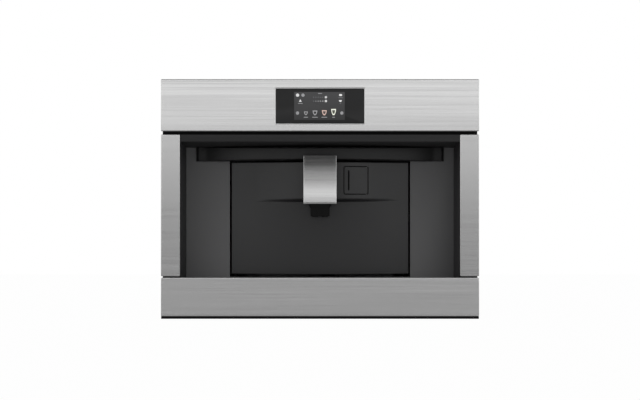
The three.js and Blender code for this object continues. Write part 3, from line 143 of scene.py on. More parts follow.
stage = {
    "cameraDistance": 2160,  # from the front plane
    "cameraHeight": 223,
    "lens": 65,
    "sensor": 36,
    "floorHalf": 1.1,  # metres
    "floorColour": (0.5, 0.5, 0.5),
    "floorGlow": 0.98,  # share of plain white that the camera sees in the floor
    "floorShine": 0.8,  # the same for gloss, and how bright it is there
    "floorMirror": 0.38,
    "softboxes": [
        # centre, what it faces, width, height, watts
        ((0.0, -0.7, 1.3), (0.0, -0.1, 0.3), 1.3, 0.5, 2.0),
        ((-1.7, -1.2, 0.6), (0.0, -0.2, 0.2), 0.6, 1.2, 0.8),
        ((1.7, -1.2, 0.6), (0.0, -0.2, 0.2), 0.6, 1.2, 0.8),
        ((0.0, 1.5, 1.6), (0.0, 0.2, 0.3), 1.6, 1.0, 4.0),
    ],
    # what metal and gloss see in front of the machine: height of the direction, radiance
    "room": [
        (-0.5, 0.08), (-0.15, 0.1), (-0.08, 0.44), (-0.03, 0.3), (0.02, 0.62), (0.06, 1.2),
        (0.11, 1.78), (0.18, 0.22), (0.27, 0.6), (0.38, 0.05), (0.52, 0.05), (0.8, 0.05),
    ],
    "roomTop": 2.0,  # radiance at the top of the ramp
    # windows to both sides: share of sideways in the direction, brightness
    "windows": [(0.0, 0.0), (0.28, 0.0), (0.4, 1.0), (0.62, 1.0), (0.76, 0.0)],
    "windowLight": 1.25,
    "backdrop": (0.3, 0.6),  # share of backwards at which the white starts and is full
    "diffuseRoom": 0.78,
}
white = (1, 1, 1)


def rayKinds(tree):
    # rays from the camera, also through clear plastic, and rays off gloss
    path = newNode(tree, "LightPath").outputs
    direct = calc(tree, "MAXIMUM", path["Is Camera Ray"], path["Is Transmission Ray"])
    return direct, path["Is Glossy Ray"]


def makeCamera():
    data = bpy.data.cameras.new("studioCamera")
    data.lens = stage["lens"]
    data.sensor_width = stage["sensor"]
    data.clip_end = 50
    camera = addObject("studioCamera", data)
    frontY = boxMm("control_fascia")[0][1]
    camera.location = (0, (frontY - stage["cameraDistance"]) * mm, stage["cameraHeight"] * mm)
    camera.rotation_euler = (math.pi / 2, 0, 0)
    bpy.context.scene.camera = camera


def makeRoom():
    # diffuse rays meet a plain level; gloss sees ramp, windows and backdrop; the camera sees white
    world = bpy.data.worlds.new("studio")
    bpy.context.scene.world = world
    tree = clearTree(world)
    direct, glossy = rayKinds(tree)
    direction = newNode(tree, "TexCoord").outputs["Generated"]
    axes = newNode(tree, "SeparateXYZ", {0: direction}).outputs
    height = newNode(tree, "MapRange", {"From Min": -1, "Value": axes["Z"]}).outputs[0]
    top = stage["roomTop"]
    stops = [(level / 2 + 0.5, value / top) for level, value in stage["room"]]
    front = scaled(tree, greyRamp(tree, stops, height), top)
    panes = greyRamp(tree, stage["windows"], calc(tree, "ABSOLUTE", axes["X"]))
    daylight = scaled(tree, panes, stage["windowLight"])
    wide = newNode(tree, "VectorMath", {0: front, 1: daylight}, operation="MAXIMUM")
    start, full = stage["backdrop"]
    inputs = {"From Min": start, "From Max": full, "Value": axes["Y"]}
    behind = newNode(tree, "MapRange", inputs, interpolation_type="SMOOTHSTEP")
    seen = colourMix(tree, behind.outputs[0], wide.outputs[0], white)
    shown = newNode(tree, "Background", {0: colourMix(tree, direct, seen, white)})
    lit = newNode(tree, "Background", {0: (*white, 1), 1: stage["diffuseRoom"]})
    mirrored = calc(tree, "MAXIMUM", direct, glossy)
    mix = newNode(tree, "MixShader", {0: mirrored, 1: lit.outputs[0], 2: shown.outputs[0]})
    newNode(tree, "OutputWorld", {0: mix.outputs[0]})


def makeFloor():
    # grey paper that keeps the shadow; the camera and gloss see most of it as white
    half = stage["floorHalf"]
    mesh = bpy.data.meshes.new("studioFloor")
    corners = [(-half, -half, 0), (half, -half, 0), (half, half, 0), (-half, half, 0)]
    mesh.from_pydata(corners, [], [(0, 1, 2, 3)])
    material = bpy.data.materials.new("floorPaper")
    tree = clearTree(material)
    direct, glossy = rayKinds(tree)
    seen = calc(tree, "MULTIPLY", direct, stage["floorGlow"])
    share = calc(tree, "MAXIMUM", seen, calc(tree, "MULTIPLY", glossy, stage["floorShine"]))
    dimming = calc(tree, "MULTIPLY", glossy, 1 - stage["floorMirror"])
    paper = newNode(tree, "BsdfDiffuse", {0: (*stage["floorColour"], 1)})
    glow = newNode(tree, "Emission", {"Strength": calc(tree, "SUBTRACT", 1, dimming)})
    mix = newNode(tree, "MixShader", {0: share, 1: paper.outputs[0], 2: glow.outputs[0]})
    newNode(tree, "OutputMaterial", {0: mix.outputs[0]})
    mesh.materials.append(material)
    floor = addObject("studioFloor", mesh)


def makeSoftboxes():
    for i, (place, target, width, height, power) in enumerate(stage["softboxes"]):
        data = bpy.data.lights.new(f"softbox{i}", "AREA")
        data.shape = "RECTANGLE"
        data.size, data.size_y = width, height
        data.energy = power
        lamp = addObject(f"softbox{i}", data)
        lamp.location = place
        facing = Vector(np.array(target) - np.array(place))
        lamp.rotation_euler = facing.to_track_quat("-Z", "Y").to_euler()


makeCamera()
makeRoom()
makeFloor()
makeSoftboxes()
bpy.context.scene.view_settings.view_transform = "Standard"
print("stage set")


# material groups: each gives the colour times a gain, the roughness plus a swing, and a height


def makeGroup(name, values, effect):
    group = bpy.data.node_groups.new(name, "ShaderNodeTree")
    values = {"Colour": (0.6, 0.6, 0.6, 1), **values}
    for side, labels in (("INPUT", values), ("OUTPUT", ("Colour", "Roughness", "Height"))):
        for label in labels:
            kind = "NodeSocketColor" if label == "Colour" else "NodeSocketFloat"
            socket = group.interface.new_socket(label, in_out=side, socket_type=kind)
            if side == "INPUT":
                socket.default_value = values[label]
    given = newNode(group, "NodeGroupInput").outputs
    coords = objectCoords(group)
    gain, swing, height = effect(group, given, coords)
    colour = scaled(group, given["Colour"], gain)
    rough = calc(group, "ADD", given["Roughness"], swing, clamp=True)
    newNode(group, "NodeGroupOutput", {"Colour": colour, "Roughness": rough, "Height": height})
    return group


brush = {
    "fine": (3.5, 3.5, 1400),  # cells per metre along each axis
    "band": (1.6, 1.6, 160),
    "bandShare": 0.35,
    "lineGain": 6,
    "roughSwing": 0.35,
}


def brushEffect(group, given, coords):
    # long scratches along X: fine lines, broad faint bands and a soft drift of tone
    fine = noiseOf(group, coords, 1.0, 4, 0.7, stretch=brush["fine"])
    band = noiseOf(group, coords, 1.0, 3, 0.6, stretch=brush["band"])
    lines = total(group, (fine, 1 - brush["bandShare"]), (band, brush["bandShare"]))
    swing = centred(group, lines)
    drift = centred(group, noiseOf(group, coords, 5.0, 3, 0.5))
    contrast = given["Contrast"]
    strong = calc(group, "MULTIPLY", contrast, brush["lineGain"])
    gain = total(group, (swing, strong), (drift, contrast), 1)
    return gain, calc(group, "MULTIPLY", swing, brush["roughSwing"]), lines


def grainEffect(group, given, coords):
    # moulded plastic: fine spark-eroded grain, and soft uneven gloss
    grain = noiseOf(group, coords, given["Grain"], 2, 0.5)
    cloud = centred(group, noiseOf(group, coords, 7.0, 4, 0.55))
    variation = given["Variation"]
    fine = calc(group, "MULTIPLY", variation, 0.7)
    gain = total(group, (cloud, variation), (centred(group, grain), fine), 1)
    return gain, calc(group, "MULTIPLY", cloud, 0.16), grain


def zincEffect(group, given, coords):
    # zinc coat: crystal flakes of slightly different shade and gloss
    flakes = newNode(group, "TexVoronoi", {"Vector": coords, "Scale": given["Size"]})
    shades = newNode(group, "SeparateColor", {0: flakes.outputs["Color"]})
    flake = centred(group, shades.outputs[0])
    cloud = noiseOf(group, coords, 6.0, 4, 0.6)
    gain = total(group, (flake, given["Contrast"]), (centred(group, cloud), 0.12), 1)
    return gain, calc(group, "MULTIPLY", flake, 0.12), cloud


brushValues = {"Contrast": 0.08, "Roughness": 0.35}
grainValues = {"Variation": 0.12, "Roughness": 0.45, "Grain": 900.0}
zincValues = {"Contrast": 0.16, "Roughness": 0.42, "Size": 90.0}
brushGroup = makeGroup("brushLines", brushValues, brushEffect)
grainGroup = makeGroup("mouldedGrain", grainValues, grainEffect)
zincGroup = makeGroup("zincFlakes", zincValues, zincEffect)


def newMaterial(name):
    material = bpy.data.materials.new(name)
    material.use_nodes = True
    return material, material.node_tree, material.node_tree.nodes["Principled BSDF"]


def finishWith(name, group, groupValues, bump, **shaderValues):
    # fed by one of the groups; plain numbers sit on the shader's own sockets
    material, tree, shader = newMaterial(name)
    effect = newNode(tree, "Group", node_tree=group)
    feed(tree, effect, {**groupValues, "Colour": (*groupValues["Colour"], 1)})
    outputs = effect.outputs
    inputs = {"Strength": bump[0], "Distance": bump[1], "Height": outputs["Height"]}
    relief = newNode(tree, "Bump", inputs).outputs[0]
    feed(tree, shader, {"Base Color": outputs["Colour"], "Roughness": outputs["Roughness"]})
    feed(tree, shader, {"Normal": relief, **shaderValues})
    return material


def steel(name, tone, rough, contrast, anisotropic):
    values = {"Colour": (tone, tone, tone), "Contrast": contrast, "Roughness": rough}
    shine = {"Metallic": 1.0, "Anisotropic": anisotropic, "Anisotropic Rotation": 0.25}
    return finishWith(name, brushGroup, values, (0.12, 0.00005), **shine)


def zinc(name, colour, rough, contrast, bump, metallic):
    values = {"Colour": colour, "Roughness": rough, "Contrast": contrast}
    return finishWith(name, zincGroup, values, (bump, 0.0002), Metallic=metallic)


def plastic(name, colour, rough, variation=0.12, grain=900.0, bump=0.08, **shaderValues):
    values = {"Colour": colour, "Variation": variation, "Roughness": rough, "Grain": grain}
    return finishWith(name, grainGroup, values, (bump, 0.00015), **shaderValues)


# the front panels and the spout are one brushed steel in lit and shaded copies: their tones are
# set apart as painted light on each
steels = {
    # tone, roughness, contrast of the brushing, anisotropy
    "fasciaSteel": (0.52, 0.14, 0.034, 0.4),
    "postSteel": (0.55, 0.19, 0.05, 0.4),
    "traySteel": (0.67, 0.19, 0.05, 0.4),
    "spoutSteel": (0.62, 0.19, 0.05, 0.4),
    "grateSteel": (0.5, 0.3, 0.05, 0.0),
    "pinSteel": (0.6, 0.25, 0.05, 0.0),
}
zincs = {
    # colour, roughness, contrast of the flakes, bump, metallic
    "zincSheet": ((0.5, 0.51, 0.52), 0.45, 0.16, 0.05, 0.9),
    "zincRail": ((0.52, 0.53, 0.54), 0.4, 0.04, 0.04, 0.95),
}
specular = "Specular IOR Level"
clear = {"Transmission Weight": 0.85, "IOR": 1.45}
plastics = {
    # colour, roughness, what differs from the usual
    "linerPlastic": ((0.116, 0.116, 0.118), 0.5, {}),
    # the liner's walls and ceiling: its colour darkened as painted shade
    "linerPaintedShade": ((0.034, 0.034, 0.035), 0.55, {specular: 0.25}),
    "linerBand": ((0.021, 0.021, 0.0215), 0.55, {specular: 0.25}),
    "hoodPlastic": ((0.02, 0.02, 0.0205), 0.45, {specular: 0.3}),
    "doorPlastic": ((0.0305, 0.0305, 0.0315), 0.33, {specular: 0.33}),
    "blackPlastic": ((0.016, 0.016, 0.017), 0.5, {}),
    "matteBlack": ((0.008, 0.008, 0.008), 0.8, {specular: 0.15}),
    "nozzlePlastic": ((0.004, 0.004, 0.004), 0.35, {specular: 0.16}),
    "trayPlastic": ((0.045, 0.045, 0.047), 0.45, {}),
    "innerPlastic": ((0.11, 0.11, 0.113), 0.5, {}),
    "redPlastic": ((0.55, 0.03, 0.02), 0.35, {}),
    "foam": ((0.02, 0.02, 0.02), 0.95, {"variation": 0.5, "grain": 1400.0, "bump": 0.6}),
    "lampPlastic": ((0.8, 0.8, 0.76), 0.25, {}),
    "silicone": ((0.6, 0.59, 0.56), 0.4, {"Subsurface Weight": 0.15}),
    "smokedPlastic": ((0.55, 0.6, 0.62), 0.12, {"grain": 60.0, "bump": 0.02, **clear}),
}
# a pale, half-metallic colour for the chamfer round the window: a painted highlight all round it
rim = {"Colour": (0.8, 0.8, 0.8), "Contrast": 0.02, "Roughness": 0.5}
finishes = {"highlightRim": finishWith("highlightRim", brushGroup, rim, (0.02, 0.00002), Metallic=0.3)}
finishes.update({name: steel(name, *values) for name, values in steels.items()})
finishes.update({name: zinc(name, *values) for name, values in zincs.items()})
for name, (colour, rough, others) in plastics.items():
    finishes[name] = plastic(name, colour, rough, **others)
print("materials ready:", len(finishes))


# meshes


def newMesh(name, verts, faces, closed=True):
    # from millimetres; the faces of a closed shape are turned outward
    mesh = bpy.data.meshes.new(name)
    points = (np.asarray(verts, float).reshape(-1, 3) * mm).tolist()
    mesh.from_pydata(points, [], [list(map(int, face)) for face in faces])
    work = bmesh.new()
    work.from_mesh(mesh)
    bmesh.ops.remove_doubles(work, verts=work.verts, dist=1e-7)
    if closed:
        bmesh.ops.recalc_face_normals(work, faces=work.faces)
    work.to_mesh(mesh)
    work.free()
    return mesh


def smoothFaces(mesh, angle=35):
    # smooth shading that breaks at edges sharper than the angle
    mesh.polygons.foreach_set("use_smooth", np.ones(len(mesh.polygons), bool))
    mesh.set_sharp_from_angle(angle=math.radians(angle))


def writePiece(name, shape, finish, body, replaced=(), angle=35, closed=True):
    mesh = newMesh(name, *shape, closed)
    smoothFaces(mesh, angle)
    mesh.materials.append(finishes[finish])
    obj = addObject(name, mesh)
    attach(obj, body)
    if replaced:
        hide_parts(*replaced)
    return obj


def stripFaces(rows, columns, wrapRows=False, wrapColumns=False):
    # quads between neighbouring points of a grid with that many rows and columns
    r = np.arange(rows if wrapRows else rows - 1)
    c = np.arange(columns if wrapColumns else columns - 1)
    a, b = np.meshgrid(r, c, indexing="ij")
    row, nextRow = a * columns, (a + 1) % rows * columns
    nextColumn = (b + 1) % columns
    corners = [row + b, row + nextColumn, nextRow + nextColumn, nextRow + b]
    return np.stack(corners, -1).reshape(-1, 4).tolist()


def ringStack(rings, loop=False):
    # rings of equal length joined by quads; flat faces close both ends unless they loop
    rings = np.asarray(rings, float)
    count, points = rings.shape[:2]
    faces = stripFaces(count, points, wrapRows=loop, wrapColumns=True)
    if not loop:
        faces.append(list(range(points))[::-1])
        faces.append(list(range((count - 1) * points, count * points)))
    return rings.reshape(-1, 3), faces


def joined(shapes):
    # several shapes in one mesh
    verts, faces, start = [], [], 0
    for points, quads in shapes:
        verts.append(points)
        faces += [[index + start for index in quad] for quad in quads]
        start += len(points)
    return np.concatenate(verts), faces


def placed(outline, axis, at):
    # a flat outline set in space: axis 0, 1 or 2 is the one it lacks
    return np.insert(np.asarray(outline, float), axis, at, axis=1)


def prism(outline, start, stop, axis=1):
    return ringStack([placed(outline, axis, at) for at in (start, stop)])


def rectRing(x0, x1, z0, z1, radius, perCorner=7):
    # rounded rectangle: each corner's centre pulled in by the radius, a quarter turn about it
    turn = np.linspace(0, math.pi / 2, perCorner)
    angles = (np.arange(4)[:, None] * math.pi / 2 + turn[None, :]).ravel()
    centreX = np.repeat([x1 - radius, x0 + radius, x0 + radius, x1 - radius], perCorner)
    centreZ = np.repeat([z1 - radius, z1 - radius, z0 + radius, z0 + radius], perCorner)
    return np.stack([centreX + radius * np.cos(angles), centreZ + radius * np.sin(angles)], 1)


def insetRing(low, high, inset, radius):
    # rounded outline of a box in the front plane, drawn in by the inset
    return rectRing(low[0] + inset, high[0] - inset, low[2] + inset, high[2] - inset, radius)


def insetRings(low, high, front, rows, radius, least=0.0):
    # an outline for each (inset, depth behind the front), its radius drawn in with it
    rings = []
    for inset, back in rows:
        ring = insetRing(low, high, inset, max(radius - inset, least))
        rings.append(placed(ring, 1, front + back))
    return rings


def middleRect(u, v, width, height, radius):
    # small rounded rectangle about its centre
    return rectRing(u - width / 2, u + width / 2, v - height / 2, v + height / 2, radius, 4)


def arcPoints(centreU, centreV, radius, start, stop, steps):
    angles = np.radians(np.linspace(start, stop, steps))
    return np.stack([centreU + radius * np.cos(angles), centreV + radius * np.sin(angles)], 1)


def disc(u, v, radius, steps=20):
    return arcPoints(u, v, radius, 0, 360, steps + 1)[:-1]


def applyModifiers(obj):
    # bakes the modifiers into the piece's own mesh
    depsgraph = bpy.context.evaluated_depsgraph_get()
    baked = bpy.data.meshes.new_from_object(obj.evaluated_get(depsgraph))
    obj.modifiers.clear()
    old, obj.data = obj.data, baked
    bpy.data.meshes.remove(old)


def subtract(obj, shape):
    # cuts a closed shape out of the piece, then shades it again
    mesh = newMesh("cutter", *shape)
    cutter = addObject("cutter", mesh)
    tool = obj.modifiers.new("cut", "BOOLEAN")
    tool.object = cutter
    tool.operation = "DIFFERENCE"
    tool.solver = "EXACT"
    applyModifiers(obj)
    bpy.data.objects.remove(cutter)
    bpy.data.meshes.remove(mesh)
    smoothFaces(obj.data)


def giveWall(obj, thickness, even=False):
    # an open surface: turned to the front, then made solid behind
    normals = np.zeros(len(obj.data.polygons) * 3)
    obj.data.polygons.foreach_get("normal", normals)
    if normals[1::3].sum() > 0:
        obj.data.flip_normals()
    shell = obj.modifiers.new("wall", "SOLIDIFY")
    shell.thickness = thickness * mm
    shell.offset = -1
    shell.use_even_offset = even
    applyModifiers(obj)


def softenEdges(obj, width, angle):
    bevel = obj.modifiers.new("edges", "BEVEL")
    bevel.width = width * mm
    bevel.segments = 2
    bevel.limit_method = "ANGLE"
    bevel.angle_limit = math.radians(angle)
    return bevel


def paintFaces(obj, finish, chosen):
    # a second finish on the faces that the test picks by their centre, in millimetres
    obj.data.materials.append(finishes[finish])
    for face in obj.data.polygons:
        face.material_index = int(chosen(*face.center / mm))


# CAD nodes that keep their shape: flat faces merged, edges rounded, a finish on top

rails = ("machine_rail", "middle_rail", "cabinet_rail", "cabinet_bracket")
sheets = ["base_pan", "left_wall", "right_wall", "back_wall", "top_cover", "equipment_shelf"]
hoses = ["tank_hose", "pump_hose", "steam_hose"]
dressing = [
    # finish, edge width, nodes; an edge of 0 keeps thin sheets flat and sharp, and hoses smooth
    ("matteBlack", 0.3, ["lower_door_pin", "upper_door_pin"]),
    ("matteBlack", 0.4, ["front_frame", "plinth_strip"]),
    ("blackPlastic", 0.3, ["grinder_knob"]),
    ("blackPlastic", 0.4, ["display_module", "mains_inlet"]),
    ("blackPlastic", 0.5, ["catch_magnet", "tank_seat"]),
    ("blackPlastic", 0.6, ["grinder", "pump", "control_box"]),
    ("linerPlastic", 0.5, ["niche_liner"]),
    ("lampPlastic", 0.3, ["cup_lamps"]),
    ("pinSteel", 0.2, ["flap_pin"]),
    ("pinSteel", 0.3, ["steam_connector"]),
    ("grateSteel", 0.3, ["cup_grate"]),
    ("innerPlastic", 0.5, ["door_inner_panel"]),
    ("innerPlastic", 0.6, ["brew_compartment"]),
    ("innerPlastic", 0.8, ["infuser"]),
    ("nozzlePlastic", 0.5, ["spout_carrier"]),
    ("trayPlastic", 0.3, ["bean_lid", "ground_coffee_lid"]),
    ("trayPlastic", 0.4, ["spout_guide", "ground_coffee_funnel", "tank_lid"]),
    ("trayPlastic", 0.6, ["drip_tray", "grounds_container"]),
    ("redPlastic", 0.4, ["main_switch"]),
    ("redPlastic", 0.6, ["float_indicator"]),
    ("smokedPlastic", 0.4, ["bean_container"]),
    ("smokedPlastic", 0.5, ["water_tank"]),
    ("silicone", 0, hoses),
    ("zincSheet", 0, sheets),
    ("zincRail", 0.5, ["boiler"]),
    ("zincRail", 0.3, [f"{side}_{rail}" for side in ("left", "right") for rail in rails]),
]
liner = {"panelDepth": 25, "facing": 0.7}  # panels beside the door lie this near its back


def dressNode(name, finish, edge):
    obj = nodes[name]
    mesh = obj.data
    mesh.polygons.foreach_set("use_smooth", np.full(len(mesh.polygons), edge > 0 or name in hoses))
    mesh.materials.clear()
    mesh.materials.append(finishes[finish])
    obj.modifiers.new("weld", "WELD").merge_threshold = 0.00001
    flat = obj.modifiers.new("flat", "DECIMATE")
    flat.decimate_type = "DISSOLVE"
    flat.angle_limit = math.radians(0.5)
    if edge:
        softenEdges(obj, edge, 35).harden_normals = True


def paintLiner():
    # the panels beside the door are graphite and the front band black; the walls and ceiling get a
    # darker copy of the liner's colour, painted shade in the recess
    mesh = nodes["niche_liner"].data
    panelY = boxMm("door_inner_panel")[1][1] - liner["panelDepth"]
    for finish in ("linerPaintedShade", "linerBand"):
        mesh.materials.append(finishes[finish])
    for face in mesh.polygons:
        toFront = face.normal[1] < -liner["facing"]
        onBack = toFront and face.center[1] > panelY * mm
        face.material_index = 0 if onBack else 2 if toFront else 1


for finish, edge, names in dressing:
    for name in names:
        dressNode(name, finish, edge)
paintLiner()
print("CAD nodes dressed:", sum(len(names) for finish, edge, names in dressing))


# steel front: sheet panels with rolled edges

sheet = {
    "thickness": 0.9,
    "edgeRadius": 1.0,
    "cornerRadius": 1.6,
    "steps": 7,
    "band": 1.0,  # flat band next to the roll, which keeps the big face evenly shaded
    "windowGap": 0.3,
    "windowRadius": 1.0,
    "windowBand": 1.2,
    "windowLap": 1.5,  # where the edge meets the inner face
    "rim": 1.1,  # width of the chamfer that carries the painted highlight
    "rimDepth": 0.4,
    "chamfer": [(-0.1, 0.3), (0, 0.45)],
}
glassLow, glassHigh = boxMm("display_glass")


def foldedProfile(depth):
    # from the middle of the inner face, round the folded edge, to the middle of the outer face:
    # each point is (how far in from the outline, how far behind the front plane)
    t, r, steps = sheet["thickness"], sheet["edgeRadius"], sheet["steps"]
    inner = arcPoints(r, r, r - t, 270, 180, steps)
    outer = arcPoints(r, r, r, 180, 270, steps)
    lip = arcPoints(t / 2, depth - t / 2, t / 2, 0, 180, 5)
    far = r + sheet["band"]
    return np.concatenate([[[far, t]], inner, lip, outer, [[far, 0]]])


def foldedPanel(name, finish, body, window=None):
    # the window's edge is chamfered inwards and joins the two faces
    low, high = boxMm(name)
    t, rim = sheet["thickness"], sheet["rim"]
    profile = foldedProfile(high[1] - low[1])
    rings = insetRings(low, high, low[1], profile, sheet["cornerRadius"], 0.25)
    if window:
        rows = [(-rim - sheet["windowBand"], 0), (-rim, 0), *sheet["chamfer"], (0, t)]
        rows.append((-sheet["windowLap"], t))
        rings += insetRings(*window, low[1], rows, sheet["windowRadius"])
    shape = ringStack(rings, loop=bool(window))
    obj = writePiece(name + "_sheet", shape, finish, body, [name])
    if window:
        (x0, _, z0), (x1, _, z1) = window[0] - rim, window[1] + rim

        def onRim(x, y, z):
            return x0 < x < x1 and z0 < z < z1 and y < low[1] + sheet["rimDepth"]

        # the chamfer round the window is painted pale, a highlight on all its sides
        paintFaces(obj, "highlightRim", onRim)


windowGap = sheet["windowGap"]
window = (glassLow - windowGap, glassHigh + windowGap)
foldedPanel("control_fascia", "fasciaSteel", "machine", window)
foldedPanel("left_post", "postSteel", "machine")
foldedPanel("right_post", "postSteel", "machine")
foldedPanel("tray_front", "traySteel", "drip_tray")
print("steel front built")


# display: printed glass over a lit panel, with plain signs

display = {
    "glassColour": (0.031, 0.031, 0.0315),
    "screenColour": (0.087, 0.087, 0.089),
    "screenFoot": 0.72,  # brightness at the bottom of the screen
    "screenEdge": 0.4,
    "screen": (-48.1, 46.0, 372.9, 424.7),  # lit part, in the front plane
    "cornerRadius": 1.2,
    "profile": [(1.0, 2.8), (0.0, 2.4), (0.0, 0.5), (0.15, 0.15), (0.6, 0.0)],
    "signHeight": 0.04,
    "signDepth": 0.02,
}


def makeDisplayFinish():
    # a lighter field inside the dark border, brighter towards its top, by Object coordinates
    colour = display["screenColour"]
    values = {"variation": 0.04, "bump": 0.0, specular: 0.06}
    material = plastic("displayGlass", display["glassColour"], 0.12, **values)
    tree = material.node_tree
    axes = newNode(tree, "SeparateXYZ", {0: objectCoords(tree)}).outputs
    x0, x1, z0, z1 = (value * mm for value in display["screen"])
    past = []
    for axis, start, stop in ((0, x0, x1), (2, z0, z1)):
        away = calc(tree, "ABSOLUTE", calc(tree, "SUBTRACT", axes[axis], (start + stop) / 2))
        past.append(calc(tree, "SUBTRACT", away, (stop - start) / 2))
    outside = calc(tree, "MAXIMUM", *past)
    blur = calc(tree, "DIVIDE", outside, display["screenEdge"] * mm, clamp=True)
    inside = calc(tree, "SUBTRACT", 1, blur, clamp=True)
    rise = calc(tree, "DIVIDE", calc(tree, "SUBTRACT", axes[2], z0), z1 - z0, clamp=True)
    foot = tuple(c * display["screenFoot"] for c in colour)
    field = colourMix(tree, rise, foot, colour)
    effect = next(node for node in tree.nodes if node.type == "GROUP")
    mixed = colourMix(tree, inside, effect.outputs["Colour"], field)
    feed(tree, tree.nodes["Principled BSDF"], {"Base Color": mixed})
    return material


def makeDisplay():
    finishes["displayGlass"] = makeDisplayFinish()
    form = display["profile"], display["cornerRadius"], 0.3
    shape = ringStack(insetRings(glassLow, glassHigh, glassLow[1], *form))
    writePiece("display_pane", shape, "displayGlass", "machine", ["display_glass"])


def glowing(name, colour, strength):
    # printed and lit from behind: a little uneven, like a real backlight
    material, tree, shader = newMaterial(name)
    patch = noiseOf(tree, objectCoords(tree), 60.0, 2, 0.5)
    tone = colourMix(tree, patch, tuple(c * 0.86 for c in colour), colour)
    feed(tree, shader, {"Base Color": tone, "Emission Color": tone})
    feed(tree, shader, {"Emission Strength": strength, "Roughness": 0.3})
    return material


inks = {
    "bright": ((0.62, 0.62, 0.62), 0.55),
    "pale": ((0.32, 0.32, 0.33), 0.4),
    "dim": ((0.16, 0.16, 0.17), 0.35),
    "cream": ((0.6, 0.42, 0.36), 0.5),
    "milk": ((0.68, 0.7, 0.6), 0.6),
    "shade": ((0.12, 0.12, 0.12), 0.2),
    "coffee": ((0.012, 0.012, 0.012), 0.1),
    "bean": ((0.09, 0.04, 0.025), 0.2),
    "olive": ((0.07, 0.075, 0.03), 0.2),
}
for name, values in inks.items():
    finishes[name] = glowing("ink" + name.capitalize(), *values)

# in steps of the photograph's frame, which the scale turns into millimetres of the front plane
signs = {
    "scale": 1.8705,
    "origin": (320, 319.34),
    # centre x, y, width, height, ink
    "bars": [
        (300.3, 103.6, 4.6, 0.5, "pale"),
        (320.1, 93.6, 4.0, 0.55, "pale"),
        (340.6, 97.9, 4.6, 0.5, "dim"),
        (340.4, 103.5, 1.6, 0.5, "dim"),
        (305.9, 117.4, 4.2, 0.6, "pale"),
        (315.0, 117.4, 5.6, 0.6, "pale"),
        (324.3, 117.4, 5.6, 0.6, "pale"),
        (333.6, 117.4, 2.6, 0.6, "pale"),
    ],
    # centre x, y, radius, ink
    "discs": [
        (297.6, 95.3, 1.65, "bright"),
        (303.0, 95.3, 1.6, "pale"),
        (325.9, 97.4, 1.2, "bright"),
        (325.9, 101.2, 1.2, "bright"),
        (297.5, 113.2, 1.6, "pale"),
        (341.8, 113.2, 1.6, "pale"),
    ],
    "discRing": (0.62, 0.14),  # radius as a share of the disc's, line
    # centre x, y, width, height, rim ink, mark ink, mark radius
    "cups": [
        (305.9, 113.4, 3.8, 3.4, "pale", "coffee", 0.55),
        (315.0, 113.0, 4.6, 4.6, "pale", "coffee", 1.05),
        (324.3, 112.9, 4.8, 5.0, "cream", "bean", 0.75),
        (333.6, 112.2, 4.8, 6.2, "milk", "olive", 0.85),
    ],
    "cupFoot": 0.35,
    "cupLift": 0.1,  # of the drink above the cup's middle
    "drink": (0.62, 0.6, 0.4),  # width and height as shares of the cup's, foot
    # rows of strength dots; the lower row's radius grows along it
    "dots": {"start": 313.6, "step": 2.3, "rows": (97.4, 101.3), "radius": 0.42, "growth": 0.06},
    "heat": [(-1.5, -1.2), (1.5, -1.2), (0.5, 0.2), (0, 1.6), (-0.5, 0.2)],
}


def fromPhoto(px, py):
    return (px - signs["origin"][0]) * signs["scale"], (signs["origin"][1] - py) * signs["scale"]


def signDepths(layer):
    # a hair in front of the glass; layers lie on each other
    return glassLow[1] + display["signDepth"], glassLow[1] - display["signHeight"] * (1 + layer)


def signPlate(name, place, outline, ink, layer=0):
    # a flat sign, from its outline about its own middle
    outline = np.asarray(outline) * signs["scale"] + fromPhoto(*place)
    writePiece(name, prism(outline, *signDepths(layer)), ink, "machine")


def signRing(name, place, radius, line, ink, layer):
    x, z = fromPhoto(*place)
    back, front = signDepths(layer)
    inner, outer = (radius - line) * signs["scale"], radius * signs["scale"]
    corners = ((inner, back), (inner, front), (outer, front), (outer, back))
    rings = [placed(disc(x, z, r, 30), 1, y) for r, y in corners]
    writePiece(name, ringStack(rings, loop=True), ink, "machine")


def barOutline(width, height):
    return middleRect(0, 0, width, height, min(width, height) * 0.45)


def cupOutline(width, height, foot):
    # a cup from the side: straight rim, sides drawn in towards the foot by a power of the depth
    side = np.linspace(0, 1, 9)
    half = width / 2 * (1 - (1 - foot) * side**2.2)
    level = height / 2 - height * side
    right, left = np.stack([half, level], 1), np.stack([-half, level], 1)[::-1]
    return np.concatenate([right, left])[::-1]


